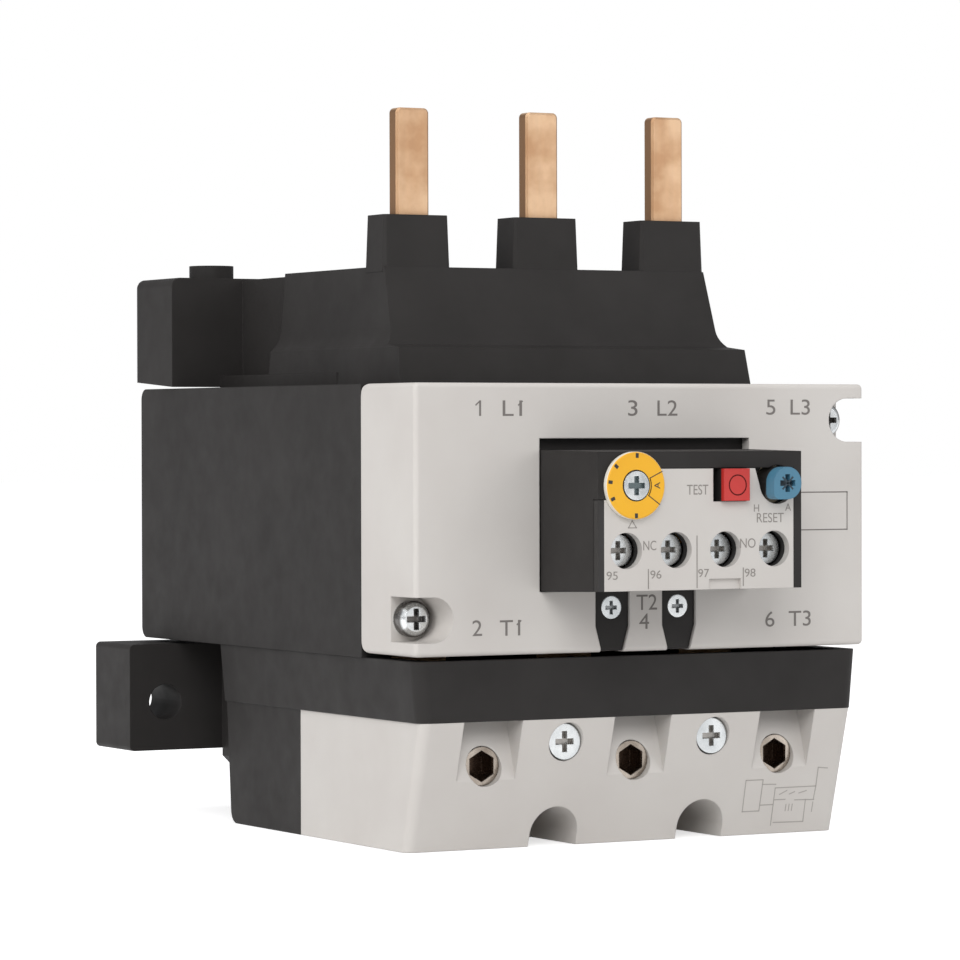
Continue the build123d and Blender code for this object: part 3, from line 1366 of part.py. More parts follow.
with BuildPart() as no_terminals:
    for x in aux_xs[2:]:
        with BuildSketch(facing(strip_front)):
            rect(x - strip_half, x + strip_half, strip_bottom, strip_top)
            disc(x, aux_z, aux_thread / 2 + running_gap, mode=Mode.SUBTRACT)
        extrude(amount=-strip_thickness)
        with BuildSketch(side(x - tongue_half)):
            outline((strip_back - strip_bend, strip_top),
                    (strip_back - strip_bend, strip_top - tongue_thickness),
                    (open_tongue_back - tongue_thickness, strip_top - tongue_thickness),
                    (open_tongue_back - tongue_thickness, tongue_bottom),
                    (open_tongue_back, tongue_bottom), (open_tongue_back, strip_top))
        extrude(amount=2 * tongue_half)
        with BuildSketch(facing(open_tongue_back)):
            disc(x, contact_z, rivet_radius)
        extrude(amount=-rivet_height)
save(no_terminals, "no_terminals")

# Contact carrier with its two bridges
nc_x = (aux_xs[0] + aux_xs[1]) / 2
no_x = (aux_xs[2] + aux_xs[3]) / 2
with BuildPart() as contact_carrier:
    with BuildSketch(level(carrier_bottom)):
        rect(-carrier_half, carrier_half, carrier_front, carrier_back)
    extrude(amount=carrier_height)
    with BuildSketch(level(carrier_bottom)):
        for x in (nc_x, no_x):
            rect(x - post_half, x + post_half, post_front, post_back)
    extrude(amount=post_top - carrier_bottom)
    for x, front in ((nc_x, rest_bridge_depth), (no_x, open_bridge_front)):
        with BuildSketch(facing(front - running_gap)):
            rect(x - post_half, x + post_half, bridge_bottom - running_gap, bridge_top + running_gap)
        extrude(amount=-bridge_thickness - 2 * running_gap, mode=Mode.SUBTRACT)
save(contact_carrier, "contact_carrier")

for label, middle, front, way in (("nc_bridge", nc_x, rest_bridge_depth, -1),
                                  ("no_bridge", no_x, open_bridge_front, 1)):
    with BuildPart() as bridge:
        with BuildSketch(facing(front)):
            rect(middle - bridge_half, middle + bridge_half, bridge_bottom, bridge_top)
        extrude(amount=-bridge_thickness)
        rivet_face = front if way > 0 else front + bridge_thickness
        with BuildSketch(facing(rivet_face)):
            for k in (-1, 1):
                disc(middle + k * aux_pitch / 2, contact_z, rivet_radius)
        extrude(amount=way * rivet_height)
    save(bridge, label)

# Trip lever on its pin, with the compensation strip
with BuildPart() as trip_lever:
    with BuildSketch(level(lever_bottom)):
        disc(lever_x, lever_depth, lever_hub_radius)
    extrude(amount=lever_hub_height)
    with BuildSketch(level(lever_bottom)):
        rect(lever_x - lever_arm_width / 2, lever_x + lever_arm_width / 2, lever_depth,
             comp_front + strip_slot_depth)
        outline((lever_x, lever_depth + overlap), (lever_x, lever_depth - nose_root_front),
                (lever_x + nose_left, carrier_back + moving_gap),
                (lever_x + nose_right, carrier_back + moving_gap), (lever_x + nose_right, nose_back))
    extrude(amount=lever_height)
    with BuildSketch(level(lever_bottom)):
        disc(lever_x, lever_depth, lever_pin_radius + running_gap)
    extrude(amount=lever_hub_height, mode=Mode.SUBTRACT)
    with BuildSketch(level(lever_bottom)):
        rect(comp_left, comp_left + comp_thickness, comp_front, comp_front + strip_slot_depth)
    extrude(amount=lever_height, mode=Mode.SUBTRACT)
save(trip_lever, "trip_lever")

with BuildPart() as compensation_strip:
    with BuildSketch(level(lever_bottom)):
        rect(comp_left, comp_left + comp_thickness, comp_front, comp_back)
    extrude(amount=lever_height)
save(compensation_strip, "compensation_strip")

with BuildPart() as lever_pin:
    with BuildSketch(level(block_bottom_plate + seat_gap)):
        disc(lever_x, lever_depth, lever_pin_radius)
    extrude(amount=lever_pin_height)
save(lever_pin, "lever_pin")

# Trip slide: a bar with a window for each bimetal, and an arm towards the lever
with BuildPart() as trip_slide:
    with BuildSketch(level(slide_bottom)):
        rect(slide_left, slide_right, slide_front, slide_back)
        rect(slide_arm_right - slide_arm_width, slide_arm_right, slide_arm_front, slide_front)
        for k in poles:
            x = k * pole_pitch
            room_x = bimetal_thickness / 2 + moving_gap
            room_y = bimetal_width / 2 + moving_gap
            rect(x - room_x - slide_travel, x + room_x, bimetal_depth - room_y, bimetal_depth + room_y,
                 mode=Mode.SUBTRACT)
    extrude(amount=slide_height)
save(trip_slide, "trip_slide")
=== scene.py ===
import json
from math import cos, pi, radians, sin
import bmesh
import bpy
from mathutils import Matrix, Vector


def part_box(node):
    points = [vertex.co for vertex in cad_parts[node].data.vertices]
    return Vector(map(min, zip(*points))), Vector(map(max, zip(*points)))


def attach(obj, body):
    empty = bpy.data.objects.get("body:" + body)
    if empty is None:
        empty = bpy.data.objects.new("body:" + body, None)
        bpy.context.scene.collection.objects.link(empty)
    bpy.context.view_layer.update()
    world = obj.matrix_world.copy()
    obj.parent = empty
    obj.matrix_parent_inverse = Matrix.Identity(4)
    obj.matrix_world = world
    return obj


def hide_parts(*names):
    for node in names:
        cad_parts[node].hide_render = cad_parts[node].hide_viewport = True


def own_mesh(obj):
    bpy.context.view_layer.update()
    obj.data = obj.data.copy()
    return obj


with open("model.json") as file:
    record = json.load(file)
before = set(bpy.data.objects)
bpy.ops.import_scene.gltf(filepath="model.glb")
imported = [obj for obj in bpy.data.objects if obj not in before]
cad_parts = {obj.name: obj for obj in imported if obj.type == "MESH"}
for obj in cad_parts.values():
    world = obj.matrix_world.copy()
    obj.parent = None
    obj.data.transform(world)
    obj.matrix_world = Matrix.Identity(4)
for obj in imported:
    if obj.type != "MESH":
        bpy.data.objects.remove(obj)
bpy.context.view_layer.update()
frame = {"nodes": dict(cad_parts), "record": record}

scene = bpy.context.scene
nodes = frame["nodes"]
MM = 0.001
PLATE_Y = -47.6 * MM  # the front plate's face


def mm(x, depth, z):
    """A point from millimetres: across, behind the front plate's face, and up."""
    return Vector((x * MM, PLATE_Y + depth * MM, z * MM))


# Camera, at the photograph's place and angle
CAMERA_AZIMUTH = radians(-28.790)
CAMERA_ELEVATION = radians(0.576)
CAMERA_ROLL = radians(-0.140)
CAMERA_PLACE = mm(-411.02, -684.72, 75.19)
CAMERA_LENS = 162.83
SENSOR_WIDTH = 36
NEAREST = 0.01  # metres from the camera
FARTHEST = 50


def make_camera():
    camera = bpy.data.objects.new("camera", bpy.data.cameras.new("camera"))
    scene.collection.objects.link(camera)
    camera.data.lens = CAMERA_LENS
    camera.data.sensor_width = SENSOR_WIDTH
    camera.data.clip_start = NEAREST
    camera.data.clip_end = FARTHEST
    az, el = CAMERA_AZIMUTH, CAMERA_ELEVATION
    back = Vector((sin(az) * cos(el), -cos(az) * cos(el), sin(el)))
    level = Vector((cos(az), sin(az), 0))
    raised = back.cross(level)
    right = level * cos(CAMERA_ROLL) + raised * sin(CAMERA_ROLL)
    up = raised * cos(CAMERA_ROLL) - level * sin(CAMERA_ROLL)
    turned = Matrix((right, up, back)).transposed().to_4x4()
    camera.matrix_world = Matrix.Translation(CAMERA_PLACE) @ turned
    scene.camera = camera


# Small helpers for node materials
def linear(code):
    """A colour written as sRGB hex, as linear RGBA."""
    values = [int(code[i:i + 2], 16) / 255 for i in (0, 2, 4)]
    return [v / 12.92 if v <= 0.04045 else ((v + 0.055) / 1.055) ** 2.4 for v in values] + [1]


EDGE_SAMPLES = 4


class Shader:
    """A node material with one Principled shader, built up call by call."""

    def __init__(self, name):
        self.material = bpy.data.materials.new(name)
        self.material.use_nodes = True
        self.tree = self.material.node_tree
        self.shader = self.tree.nodes["Principled BSDF"]
        self.place = self.add("ShaderNodeTexCoord").outputs["Object"]

    def add(self, kind, **settings):
        node = self.tree.nodes.new(kind)
        for key, value in settings.items():
            setattr(node, key, value)
        return node

    def link(self, output, socket):
        self.tree.links.new(output, socket)

    def set(self, **values):
        """Constants on the shader's own sockets, their names written with underscores."""
        for key, value in values.items():
            self.shader.inputs[key.replace("_", " ")].default_value = value
        return self

    def stretched(self, scale):
        """Object coordinates scaled along each axis."""
        mapping = self.add("ShaderNodeMapping")
        mapping.inputs["Scale"].default_value = scale
        self.link(self.place, mapping.inputs["Vector"])
        return mapping.outputs["Vector"]

    def noise(self, scale, detail=3.0, stretch=None):
        noise = self.add("ShaderNodeTexNoise")
        noise.inputs["Scale"].default_value = scale
        noise.inputs["Detail"].default_value = detail
        self.link(self.stretched(stretch) if stretch else self.place, noise.inputs["Vector"])
        return noise.outputs["Fac"]

    def ramp(self, value, *stops):
        """A colour ramp of (position, colour) stops."""
        ramp = self.add("ShaderNodeValToRGB")
        while len(ramp.color_ramp.elements) < len(stops):
            ramp.color_ramp.elements.new(0.5)
        for element, (position, colour) in zip(ramp.color_ramp.elements, stops):
            element.position = position
            element.color = linear(colour) if isinstance(colour, str) else [colour] * 3 + [1]
        self.link(value, ramp.inputs["Fac"])
        return ramp.outputs["Color"]

    def mix(self, factor, first, second, blend="MIX"):
        mix = self.add("ShaderNodeMix", data_type="RGBA", blend_type=blend)
        for value, socket in ((factor, mix.inputs[0]), (first, mix.inputs[6]), (second, mix.inputs[7])):
            if hasattr(value, "is_linked"):
                self.link(value, socket)
            else:
                socket.default_value = value
        return mix.outputs[2]

    def colour(self, output):
        self.link(output, self.shader.inputs["Base Color"])
        return self

    def roughness(self, output):
        self.link(output, self.shader.inputs["Roughness"])
        return self

    def between(self, value, start, end):
        """Zero where a value is below start and one where it is past end."""
        mapped = self.add("ShaderNodeMapRange")
        mapped.inputs["From Min"].default_value = start
        mapped.inputs["From Max"].default_value = end
        self.link(value, mapped.inputs["Value"])
        return mapped.outputs["Result"]

    def part_of(self, vector, axis):
        """One of a vector's three parts."""
        split = self.add("ShaderNodeSeparateXYZ")
        self.link(vector, split.inputs[0])
        return split.outputs[axis]

    def axis_mask(self, axis, start, end):
        """Zero below start and one past end, along one of the object's own axes, in metres."""
        return self.between(self.part_of(self.place, axis), start, end)

    def facing(self, axis, start, end):
        """One on faces that look along an axis of the object, either way."""
        normal = self.add("ShaderNodeTexCoord").outputs["Normal"]
        size = self.add("ShaderNodeMath", operation="ABSOLUTE")
        self.link(self.part_of(normal, axis), size.inputs[0])
        return self.between(size.outputs[0], start, end)

    def rounded(self, radius):
        """Edges that catch the light as worn or moulded edges of this radius do."""
        bevel = self.add("ShaderNodeBevel", samples=EDGE_SAMPLES)
        bevel.inputs["Radius"].default_value = radius
        self.link(bevel.outputs["Normal"], self.shader.inputs["Normal"])
        return self

    def bump(self, height, distance, strength=1.0):
        """Adds a bump of a real depth in metres on top of those that are there."""
        bump = self.add("ShaderNodeBump")
        bump.inputs["Distance"].default_value = distance
        bump.inputs["Strength"].default_value = strength
        self.link(height, bump.inputs["Height"])
        socket = self.shader.inputs["Normal"]
        if socket.is_linked:
            self.link(socket.links[0].from_socket, bump.inputs["Normal"])
        self.link(bump.outputs["Normal"], socket)
        return self


DRIFT_SCALE = 55  # noise scales, in waves to the metre
DULLING_SCALE = 240
FLOW_SCALE = 90
GRAIN_SCALE = 2600
PATCH_SCALE = 160
LINE_SCALE = 900
FLOW_DEPTH = 0.04 * MM
GRAIN_DEPTH = 0.012 * MM
COARSE_GRAIN = 0.03 * MM
LINE_DEPTH = 0.006 * MM
METAL_EDGE = 0.2  # edge radii, in millimetres
MOULDED_EDGE = 0.3
BUTTON_EDGE = 0.2
SMALL_EDGE = 0.15
INK_EDGE = 0.01
LINE_SHARE = 0.22  # how much of the metal's colour its lines darken


def moulded(name, light, dark, rough, grain=GRAIN_DEPTH, specular=0.5, edge=MOULDED_EDGE, tint=None):
    """Moulded plastic: slow colour drift, fine spark-eroded grain, faint flow marks, rounded edges."""
    shader = Shader(name).rounded(edge * MM)
    base = shader.ramp(shader.noise(DRIFT_SCALE, 4), (0.3, dark), (0.7, light))
    shader.colour(tint(shader, base) if tint else base)
    dulled = shader.noise(DULLING_SCALE, 5)
    shader.roughness(shader.ramp(dulled, (0.25, rough - 0.06), (0.75, rough + 0.07)))
    shader.bump(shader.noise(FLOW_SCALE, 2), FLOW_DEPTH, 0.35)
    shader.bump(shader.noise(GRAIN_SCALE, 2), grain, 0.6)
    return shader.set(Specular_IOR_Level=specular)


def metal(name, light, dark, rough, stretch=(1, 1, 1), scale=LINE_SCALE, tint=None, metallic=1.0):
    """Worked metal: lines or speckle along one direction, and patches where it has dulled."""
    shader = Shader(name).rounded(METAL_EDGE * MM)
    lines = shader.noise(scale, 3, stretch)
    patches = shader.noise(PATCH_SCALE, 4)
    base = shader.ramp(patches, (0.32, dark), (0.66, light))
    lined = shader.ramp(lines, (0.3, dark), (0.7, light))
    base = shader.mix(LINE_SHARE, base, lined, "MULTIPLY")
    shader.colour(tint(shader, base) if tint else base)
    shader.roughness(shader.ramp(lines, (0.2, rough - 0.07), (0.8, rough + 0.1)))
    shader.bump(lines, LINE_DEPTH, 0.7)
    return shader.set(Metallic=metallic)


BLACK = (0, 0, 0, 1)
DARK_INK = "2c2a29"
COLLAR = "262423"  # the dark plastic behind the button's and the knob's coloured caps
BLEND = 0.1  # how softly one colour meets the next, in millimetres
SIDE_BLEND = 0.05
RECESS_BLEND = 0.3


def behind(depth, colour, blend=BLEND, thick=None):
    """A tint: the colour takes over behind this depth, for a thickness or all the way."""
    def tint(shader, base):
        start = PLATE_Y + depth * MM
        past = shader.axis_mask("Y", start, start + blend * MM)
        tinted = shader.mix(past, base, linear(colour))
        if thick is None:
            return tinted
        end = start + thick * MM
        return shader.mix(shader.axis_mask("Y", end, end + blend * MM), tinted, base)
    return tint


def in_recess(depth, colour, back, back_colour):
    """A tint: painted shade on faces behind a depth that look to the front, and a colour on all behind
    a second depth.
    """
    def tint(shader, base):
        start = PLATE_Y + depth * MM
        sunk = shader.axis_mask("Y", start, start + BLEND * MM)
        both = shader.mix(shader.facing("Y", 0.8, 0.9), BLACK, sunk)
        return behind(back, back_colour)(shader, shader.mix(both, base, linear(colour)))
    return tint


def left_of(x, colour):
    """A tint: the colour takes over to the left of this line."""
    def tint(shader, base):
        return shader.mix(shader.axis_mask("X", x - SIDE_BLEND * MM, x), linear(colour), base)
    return tint


def darker_sides(colour):
    """A tint: faces that look to the sides are this colour."""
    def tint(shader, base):
        return shader.mix(shader.facing("X", 0.5, 0.9), base, linear(colour))
    return tint


SCREW_SCALE = 1500
ZINC = ("e6e8e8", "bcc0c2", 0.24)
BRIGHT_STEEL = ("c9bfb4", "8f857b", 0.26)


def make_materials():
    """Each of the record's slots."""
    made = {
        "black_plastic": moulded("black_plastic", "302e2d", "292726", 0.56, specular=0.17),
        "grey_plastic": moulded("grey_plastic", "cfcbc6", "c9c4bf", 0.5, specular=0.35),
        "inner_plastic": moulded("inner_plastic", "d9cdb6", "cfc2a8", 0.5),
        "yellow_plastic": moulded("yellow_plastic", "eeb21a", "e5a514", 0.4, edge=SMALL_EDGE,
                                  tint=behind(-20.45, "e9e4d6")),
        "red_plastic": moulded("red_plastic", "c4322d", "b42a26", 0.4, edge=BUTTON_EDGE,
                               tint=behind(-19.7, COLLAR)),
        # The blue knob's sunk faces that look to the front are painted shade
        "blue_plastic": moulded("blue_plastic", "4d8099", "43748d", 0.42, edge=SMALL_EDGE,
                                tint=in_recess(-22.6, "20333f", -20.2, COLLAR)),
        "mica": moulded("mica", "cdbd93", "a8986e", 0.6, COARSE_GRAIN),
        "bare_copper": metal("bare_copper", "e9c9a6", "c9a17c", 0.42, (1, 1, 0.06), 1400,
                             tint=darker_sides("8d6a4a"), metallic=0.7),
        "zinc_steel": metal("zinc_steel", *ZINC, scale=SCREW_SCALE),
        "cage_steel": metal("cage_steel", "b3a79b", "7e746b", 0.3, scale=1100),
        "bimetal": metal("bimetal", "bdb7ab", "97928a", 0.4, (1, 1, 0.08)),
        "heater_alloy": metal("heater_alloy", "9a948e", "6b6560", 0.5, (1, 0.1, 1)),
        "spring_steel": metal("spring_steel", "b5b5b2", "8d8d8b", 0.3),
        "contact_bronze": metal("contact_bronze", "cda36b", "a37c4a", 0.35, (0.08, 1, 1)),
    }
    return {name: shader.material for name, shader in made.items()}


# Screws whose recesses are darkened with painted shade: the node's first words, the depth where that
# starts, the metal, the painted shade colour and how deep it goes
RECESSES = (
    ("aux_screw", -15.9, ZINC, "8c8985", 1.6),
    ("lug_screw", 0.85, ZINC, "7f8182", 1.4),
    ("cover_screw", 3.1, ZINC, "96938f", 2.0),
    ("plate_screw", 7.0, ZINC, "6a6866", 2.0),
    ("clamp_screw", 6.2, BRIGHT_STEEL, "4a3d34", 4.0),
    ("dial_spindle", -20.5, ZINC, "6b7577", 1.2),
)
PANEL_BORDER = 1.28  # the panel's left border is black
PANEL_GREYS = ("cbc7c2", "c5c0bb")


def dress_nodes(materials):
    """Gives every carried-over node its slot's material, the panel its black border and
    screws painted shade in their recesses."""
    for entry in frame["record"]["subparts"]:
        slots = nodes[entry["node"]].data.materials
        slots.clear()
        slots.append(materials[entry["material_slot"]])
    panel_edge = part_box("release_panel")[0][0] + PANEL_BORDER * MM
    panel = moulded("panel_plastic", *PANEL_GREYS, 0.5, specular=0.35, edge=SMALL_EDGE,
                    tint=left_of(panel_edge, DARK_INK))
    nodes["release_panel"].data.materials[0] = panel.material
    # Each screw's recess gets painted shade behind its depth
    for start, depth, colours, recess_shade, thick in RECESSES:
        tint = behind(depth, recess_shade, RECESS_BLEND, thick)
        shaded_metal = metal(f"{start}_metal", *colours, scale=SCREW_SCALE, tint=tint).material
        for name, node in nodes.items():
            if name.startswith(start):
                node.data.materials[0] = shaded_metal


# Printed marks
PRINT_PROUD = 0.02
CAP_HEIGHT = 0.73  # of a letter, as a share of its font size
INK_THICKNESS = 0.01
FINE_LINE = 0.16
THIN_LINE = 0.18
DIAGRAM_LINE = 0.2
FRAME_LINE = 0.22
FLAG_LINE = 0.26
STAR_LINE = 0.35
TICK_WIDTH = 0.62
COVER_FACE_DEPTH = 0.93  # of the cover's front at its top edge
COVER_TOP = 23.7
COVER_SLOPE = 0.2831  # depth gained per millimetre down


def flat(depth):
    """A face that looks to the front at one depth."""
    return lambda z: depth


def cover_face(z):
    """The terminal cover's sloped face."""
    return COVER_FACE_DEPTH + COVER_SLOPE * (COVER_TOP - z)


def finished(name, mesh, material):
    """An object made from a bmesh, with its material, in the scene."""
    data = bpy.data.meshes.new(name)
    mesh.to_mesh(data)
    mesh.free()
    data.materials.append(material)
    piece = bpy.data.objects.new(name, data)
    scene.collection.objects.link(piece)
    return piece


def printed(name, words, x, z, depth, height, material, width=None, body="relay", turn=0):
    """Words on a face that looks to the front, centred at a point and squeezed to a width."""
    curve = bpy.data.curves.new(name, "FONT")
    curve.body = words
    curve.size = height * MM / CAP_HEIGHT
    curve.align_x = "CENTER"
    curve.align_y = "CENTER"
    curve.extrude = INK_THICKNESS * MM
    text = bpy.data.objects.new(name, curve)
    scene.collection.objects.link(text)
    bpy.context.view_layer.update()
    squeeze = width * MM / text.dimensions.x if width else 1
    place = Matrix.Translation(mm(x, depth - PRINT_PROUD, z))
    upright = Matrix.Rotation(pi / 2, 4, "X") @ Matrix.Rotation(turn, 4, "Z")
    text.matrix_world = place @ upright @ Matrix.Diagonal((squeeze, 1, 1, 1))
    curve.materials.append(material)
    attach(text, body)


def strokes(name, lines, face, width, material, body="relay"):
    """Thin lines on a face that looks to the front, each a list of (x, z) points."""
    mesh = bmesh.new()
    for line in lines:
        for (x0, z0), (x1, z1) in zip(line, line[1:]):
            along = Vector((x1 - x0, z1 - z0)).normalized() * width / 2
            across = Vector((-along.y, along.x))
            start, end = Vector((x0, z0)) - along, Vector((x1, z1)) + along
            corners = [start - across, end - across, end + across, start + across]
            points = [mm(c.x, face(c.y) - PRINT_PROUD, c.y) for c in corners]
            mesh.faces.new([mesh.verts.new(point) for point in points])
    piece = finished(name, mesh, material)
    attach(piece, body)


def arc(x, z, radius, start, end, steps=40):
    """Points round a centre, the angles in degrees from the right, turning anticlockwise."""
    angles = [radians(start + (end - start) * i / steps) for i in range(steps + 1)]
    return [(x + radius * cos(a), z + radius * sin(a)) for a in angles]


PANEL = -19.3  # depths of the faces that carry marks
DIAL = -20.6
BUTTON = -20.6
KNOB = -22.8
DIAL_CENTRE = (-14.3, 66.35)
KNOB_CENTRE = (16.3, 66.6)
BUTTON_CENTRE = (7.0, 66.3)
MARK_HEIGHT = 3.0  # of the terminal marks on the plate
ONE_FLAG = ((-0.85, 0.75), (-0.1, 1.4))  # from the middle of a figure one
TICK_ANGLES = (88, 140, 173, 206, 270)
TICK_RADII = (5.25, 5.5)
SECTOR_ANGLES = (25, -35)
SECTOR_RADII = (3.1, 5.9)
SPINDLE_RING = 2.72
LETTER_RADIUS = 4.4
LETTER_HEIGHT = 1.3
BUTTON_RING = 1.8
STAR_REACH = 1.0


def make_plate_marks(ink):
    """Terminal marks beside the pins and above the screws, and an empty frame."""
    plate_marks = (  # words, place across and up, and width
        ("1", -34.7, 80.1, None), ("L1", -27.7, 80.1, 4.0), ("3", -2.7, 80.15, 2.0),
        ("L2", 4.6, 80.15, 4.3), ("5", 27.3, 80.35, 2.0), ("L3", 33.8, 80.35, 4.3),
        ("2", -35.4, 40.5, 2.0), ("T1", -28.2, 40.4, 4.2), ("T2", 0.2, 44.45, 4.4),
        ("4", -0.36, 40.95, 2.1), ("6", 26.95, 40.75, 2.0), ("T3", 33.75, 40.75, 4.9),
    )
    for words, x, z, width in plate_marks:
        printed(f"mark_{words}", words, x, z, 0, MARK_HEIGHT, ink, width)
    ones = ((-34.7, 80.1), (-25.9, 80.1), (-26.3, 40.4))
    flags = [[(x + right, z + up) for right, up in ONE_FLAG] for x, z in ones]
    strokes("one_flags", flags, flat(0), FLAG_LINE, ink)
    plate_frame = [(22.6, 64.55), (44.27, 64.55), (44.27, 57.5), (22.6, 57.5)]
    strokes("plate_frame", [plate_frame], flat(0), FRAME_LINE, ink)


def on_dial(angle, radius):
    """A point on the dial's face."""
    x, z = DIAL_CENTRE
    return x + radius * cos(radians(angle)), z + radius * sin(radians(angle))


def make_panel_marks(ink):
    """Marks on the release panel that name its terminals, its button and its knob."""
    panel_marks = (  # words, place across and up, height and width
        ("95", -18.55, 50.25, 1.55, 2.3), ("96", -9.5, 50.3, 1.55, 2.3), ("97", 0.5, 50.4, 1.55, 2.3),
        ("98", 10.4, 50.3, 1.55, 2.3), ("NC", -10.8, 55.5, 1.8, 2.7), ("NO", 9.9, 55.65, 1.8, 3.3),
        ("TEST", -0.7, 65.4, 1.9, 4.5), ("RESET", 14.7, 60.2, 1.8, 5.8), ("H", 11.8, 62.0, 1.4, None),
        ("A", 18.6, 62.1, 1.4, None),
    )
    for words, x, z, height, width in panel_marks:
        printed(f"panel_{words}", words, x, z, PANEL, height, ink, width)
    dividers = [[(-11.07, 47.9), (-11.07, 51.3)], [(-0.86, 47.9), (-0.86, 57.15)],
                [(8.95, 48.1), (8.95, 51.25)]]
    strokes("panel_dividers", dividers, flat(PANEL), FRAME_LINE, ink)
    pointer = [(-14.4, 60.07), (-15.2, 58.8), (-13.55, 58.8), (-14.4, 60.07)]
    strokes("dial_pointer", [pointer], flat(PANEL), FINE_LINE, ink)


def make_control_marks(ink, knob_star_shade, red):
    """Marks on the knob, the dial and the button, which move with them; the knob's star is painted
    shade.
    """
    x, z = KNOB_CENTRE
    rises = (STAR_REACH, -STAR_REACH)
    star = [[(x - STAR_REACH, z - rise), (x + STAR_REACH, z + rise)] for rise in rises]
    # The knob's star is painted shade, in the same colour as its sunk faces
    strokes("knob_star", star, flat(KNOB), STAR_LINE, knob_star_shade, "reset_knob")
    x, z = DIAL_CENTRE
    face = flat(DIAL)
    ticks = [[on_dial(angle, radius) for radius in TICK_RADII] for angle in TICK_ANGLES]
    strokes("dial_ticks", ticks, face, TICK_WIDTH, ink, "dial_assembly")
    sector = [[on_dial(angle, radius) for radius in SECTOR_RADII] for angle in SECTOR_ANGLES]
    sector.append(arc(x, z, SECTOR_RADII[0], SECTOR_ANGLES[1], SECTOR_ANGLES[0], 12))
    strokes("dial_sector", sector, face, THIN_LINE, ink, "dial_assembly")
    strokes("dial_ring", [arc(x, z, SPINDLE_RING, 0, 360)], face, FRAME_LINE, ink, "dial_assembly")
    printed("dial_A", "A", x + LETTER_RADIUS, z, DIAL, LETTER_HEIGHT, ink, None, "dial_assembly",
            pi / 2)
    ring = arc(*BUTTON_CENTRE, BUTTON_RING, 0, 360)
    strokes("test_ring", [ring], flat(BUTTON), FRAME_LINE, red, "test_button")


def make_cover_marks(ink):
    """A plain line diagram: two boxes, two links, a pointer, three switch strokes and three ticks."""
    small_box = [(24.6, 10.5), (28.4, 10.5), (28.5, 4.5), (24.8, 4.5), (24.6, 10.5)]
    links = [[(28.4, 9.6), (31.4, 9.5)], [(28.5, 5.6), (31.5, 5.6)]]
    big_box = [[(31.6, 1.6), (31.4, 8.8), (40.5, 8.8), (40.4, 6.2)], [(32.1, 2.1), (38.8, 2.0)],
               [(38.8, 2.0), (38.6, 6.3)], [(31.5, 6.5), (34.0, 6.5)], [(36.2, 6.3), (40.5, 6.2)],
               [(40.4, 5.7), (40.4, 3.9)]]
    pointer = [(40.5, 8.8), (40.4, 12.4), (42.5, 12.2)]
    switches = [[(32.6, 7.5), (34.1, 8.2)], [(34.8, 7.5), (35.9, 7.9)], [(36.9, 7.6), (38.5, 8.0)]]
    ticks = [[(x, 5.5), (x, 4.3)] for x in (34.4, 35.1, 35.8)]
    diagram = [small_box, pointer] + links + big_box + switches + ticks
    strokes("cover_diagram", diagram, cover_face, DIAGRAM_LINE, ink)


def make_marks():
    """All printed and engraved marks, each set in its own ink, and the knob's star in painted shade."""
    ink = moulded("print_ink", "77726e", "6f6a66", 0.6, edge=INK_EDGE).material
    panel_ink = moulded("panel_ink", "8c8782", "86817c", 0.6, edge=INK_EDGE).material
    # Painted shade for the knob's star
    knob_star_shade = moulded("knob_shadow", "20333f", "1c2e39", 0.5, edge=INK_EDGE).material
    dark = moulded("dark_ink", DARK_INK, "262424", 0.6, edge=INK_EDGE).material
    engraved = moulded("engraved_line", "a7a29d", "a09b96", 0.6, edge=INK_EDGE).material
    red = moulded("engraved_red", "962a27", "8a2623", 0.6, edge=INK_EDGE).material
    make_plate_marks(ink)
    make_panel_marks(panel_ink)
    make_control_marks(dark, knob_star_shade, red)
    make_cover_marks(engraved)


# Return springs
SPRING_WIRE = 0.45 * MM
SPRING_TURNS = 4
WIRE_SIDES = 8
STEPS_PER_TURN = 24


def make_spring(node, material):
    """A coil between a collar and the bulkhead."""
    low, high = (Vector(c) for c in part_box(node))
    centre, length = (low + high) / 2, high.y - low.y
    radius = (high.x - low.x - SPRING_WIRE) / 2
    count = SPRING_TURNS * STEPS_PER_TURN
    mesh = bmesh.new()
    rings = []
    for step in range(count + 1):
        angle = 2 * pi * step / STEPS_PER_TURN
        outward = Vector((cos(angle), 0, sin(angle)))
        travelled = (length - SPRING_WIRE) * step / count
        middle = Vector((centre.x, low.y + SPRING_WIRE / 2 + travelled, centre.z))
        ring = []
        for side in range(WIRE_SIDES):
            turn = 2 * pi * side / WIRE_SIDES
            along = Vector((0, sin(turn) * SPRING_WIRE / 2, 0))
            offset = outward * (radius + cos(turn) * SPRING_WIRE / 2) + along
            ring.append(mesh.verts.new(middle + offset))
        rings.append(ring)
    for ring, following in zip(rings, rings[1:]):
        for side in range(WIRE_SIDES):
            after = (side + 1) % WIRE_SIDES
            wall = (ring[side], ring[after], following[after], following[side])
            mesh.faces.new(wall).smooth = True
    mesh.faces.new(rings[0])
    mesh.faces.new(rings[-1])
    bmesh.ops.recalc_face_normals(mesh, faces=mesh.faces)
    coil = finished(f"{node}_coil", mesh, material)
    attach(coil, "relay")
    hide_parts(node)
    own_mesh(coil)


# Light, backdrop and floor
AIM = (0, 0, 0.06)
LAMPS = (  # name, place, size in metres and power in watts
    ("key", (-0.7, -1.2, 0.9), 0.9, 11),
    ("fill", (1.1, -0.9, 0.6), 0.9, 4),
    ("left", (-1.3, -0.1, 0.5), 0.8, 6),
    ("top", (0, 0.1, 1.4), 0.9, 4),
)
AMBIENT = (0.45, 0.45, 0.46, 1)
WHITE = (1, 1, 1, 1)
FLOOR_COLOUR = (0.8, 0.8, 0.8, 1)
FLOOR_GLOW = (0.64, 0.64, 0.64, 1)
FLOOR_REACH = 6
FLOOR_DROP = 0.0001


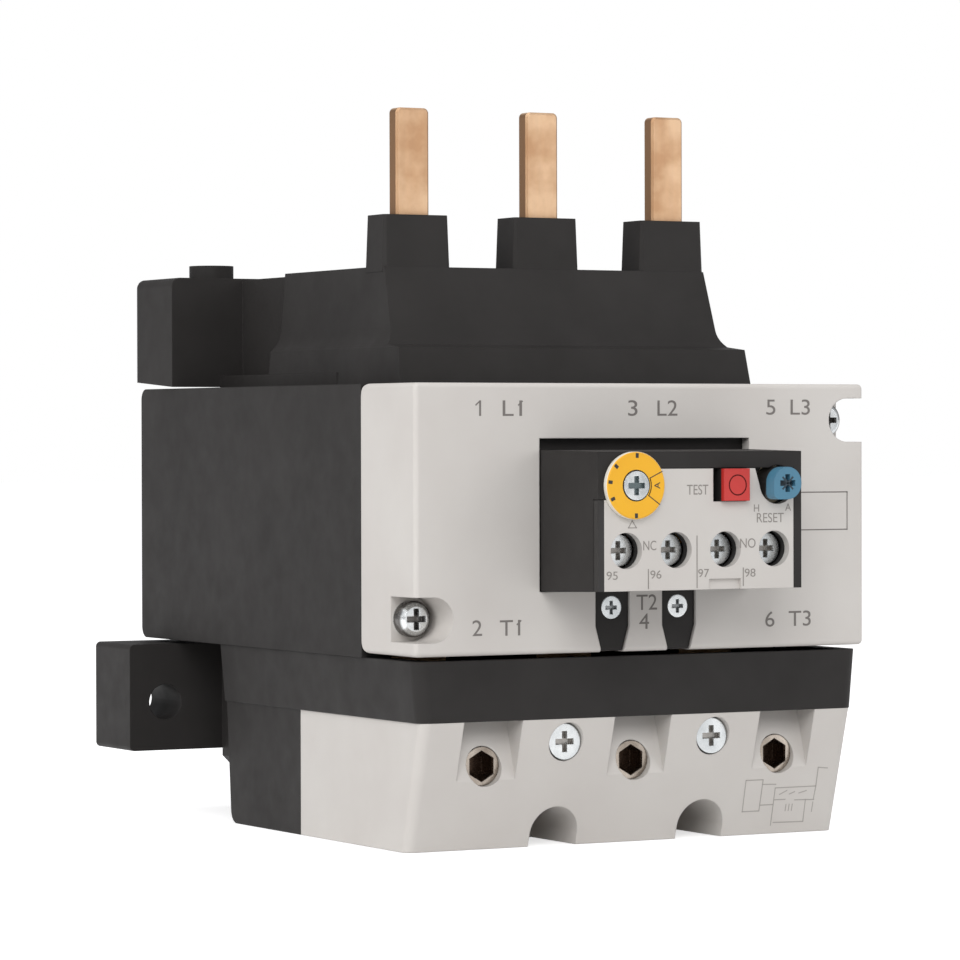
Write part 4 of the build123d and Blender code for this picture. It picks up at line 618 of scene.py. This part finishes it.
def area_light(name, place, size, power):
    light = bpy.data.lights.new(name, "AREA")
    light.size = size
    light.energy = power
    lamp = bpy.data.objects.new(name, light)
    scene.collection.objects.link(lamp)
    lamp.location = place
    lamp.rotation_mode = "QUATERNION"
    lamp.rotation_quaternion = (Vector(AIM) - Vector(place)).to_track_quat("-Z", "Y")


def seen_directly(tree):
    """One where a ray comes from the camera, a mirror-like surface or through glass."""
    path = tree.nodes.new("ShaderNodeLightPath")
    total = path.outputs["Is Camera Ray"]
    for name in ("Is Glossy Ray", "Is Transmission Ray"):
        highest = tree.nodes.new("ShaderNodeMath")
        highest.operation = "MAXIMUM"
        tree.links.new(total, highest.inputs[0])
        tree.links.new(path.outputs[name], highest.inputs[1])
        total = highest.outputs[0]
    return total


def make_studio():
    world = bpy.data.worlds.new("studio")
    scene.world = world
    world.use_nodes = True
    tree = world.node_tree
    background = tree.nodes["Background"]
    mix = tree.nodes.new("ShaderNodeMix")
    mix.data_type = "RGBA"
    mix.inputs[6].default_value = AMBIENT
    mix.inputs[7].default_value = WHITE
    path = tree.nodes.new("ShaderNodeLightPath")
    tree.links.new(path.outputs["Is Camera Ray"], mix.inputs[0])
    tree.links.new(mix.outputs[2], background.inputs["Color"])
    for lamp in LAMPS:
        area_light(*lamp)
    floor_mesh = bmesh.new()
    bmesh.ops.create_grid(floor_mesh, x_segments=1, y_segments=1, size=FLOOR_REACH)
    floor = finished("floor", floor_mesh, floor_material())
    floor.location.z = -FLOOR_DROP


def floor_material():
    """A pale floor that shows white where it is lit and keeps the object's shadow."""
    shader = Shader("floor")
    shader.set(Base_Color=FLOOR_COLOUR, Roughness=0.9, Specular_IOR_Level=0.1)
    tree = shader.tree
    glow = shader.add("ShaderNodeEmission")
    shader.link(seen_directly(tree), glow.inputs["Strength"])
    glow.inputs["Color"].default_value = FLOOR_GLOW
    both = shader.add("ShaderNodeAddShader")
    shader.link(shader.shader.outputs[0], both.inputs[0])
    shader.link(glow.outputs[0], both.inputs[1])
    shader.link(both.outputs[0], tree.nodes["Material Output"].inputs["Surface"])
    return shader.material


scene.view_settings.view_transform = "Standard"
make_camera()
make_studio()
finishes = make_materials()
dress_nodes(finishes)
make_marks()
make_spring("test_spring", finishes["spring_steel"])
make_spring("reset_spring", finishes["spring_steel"])
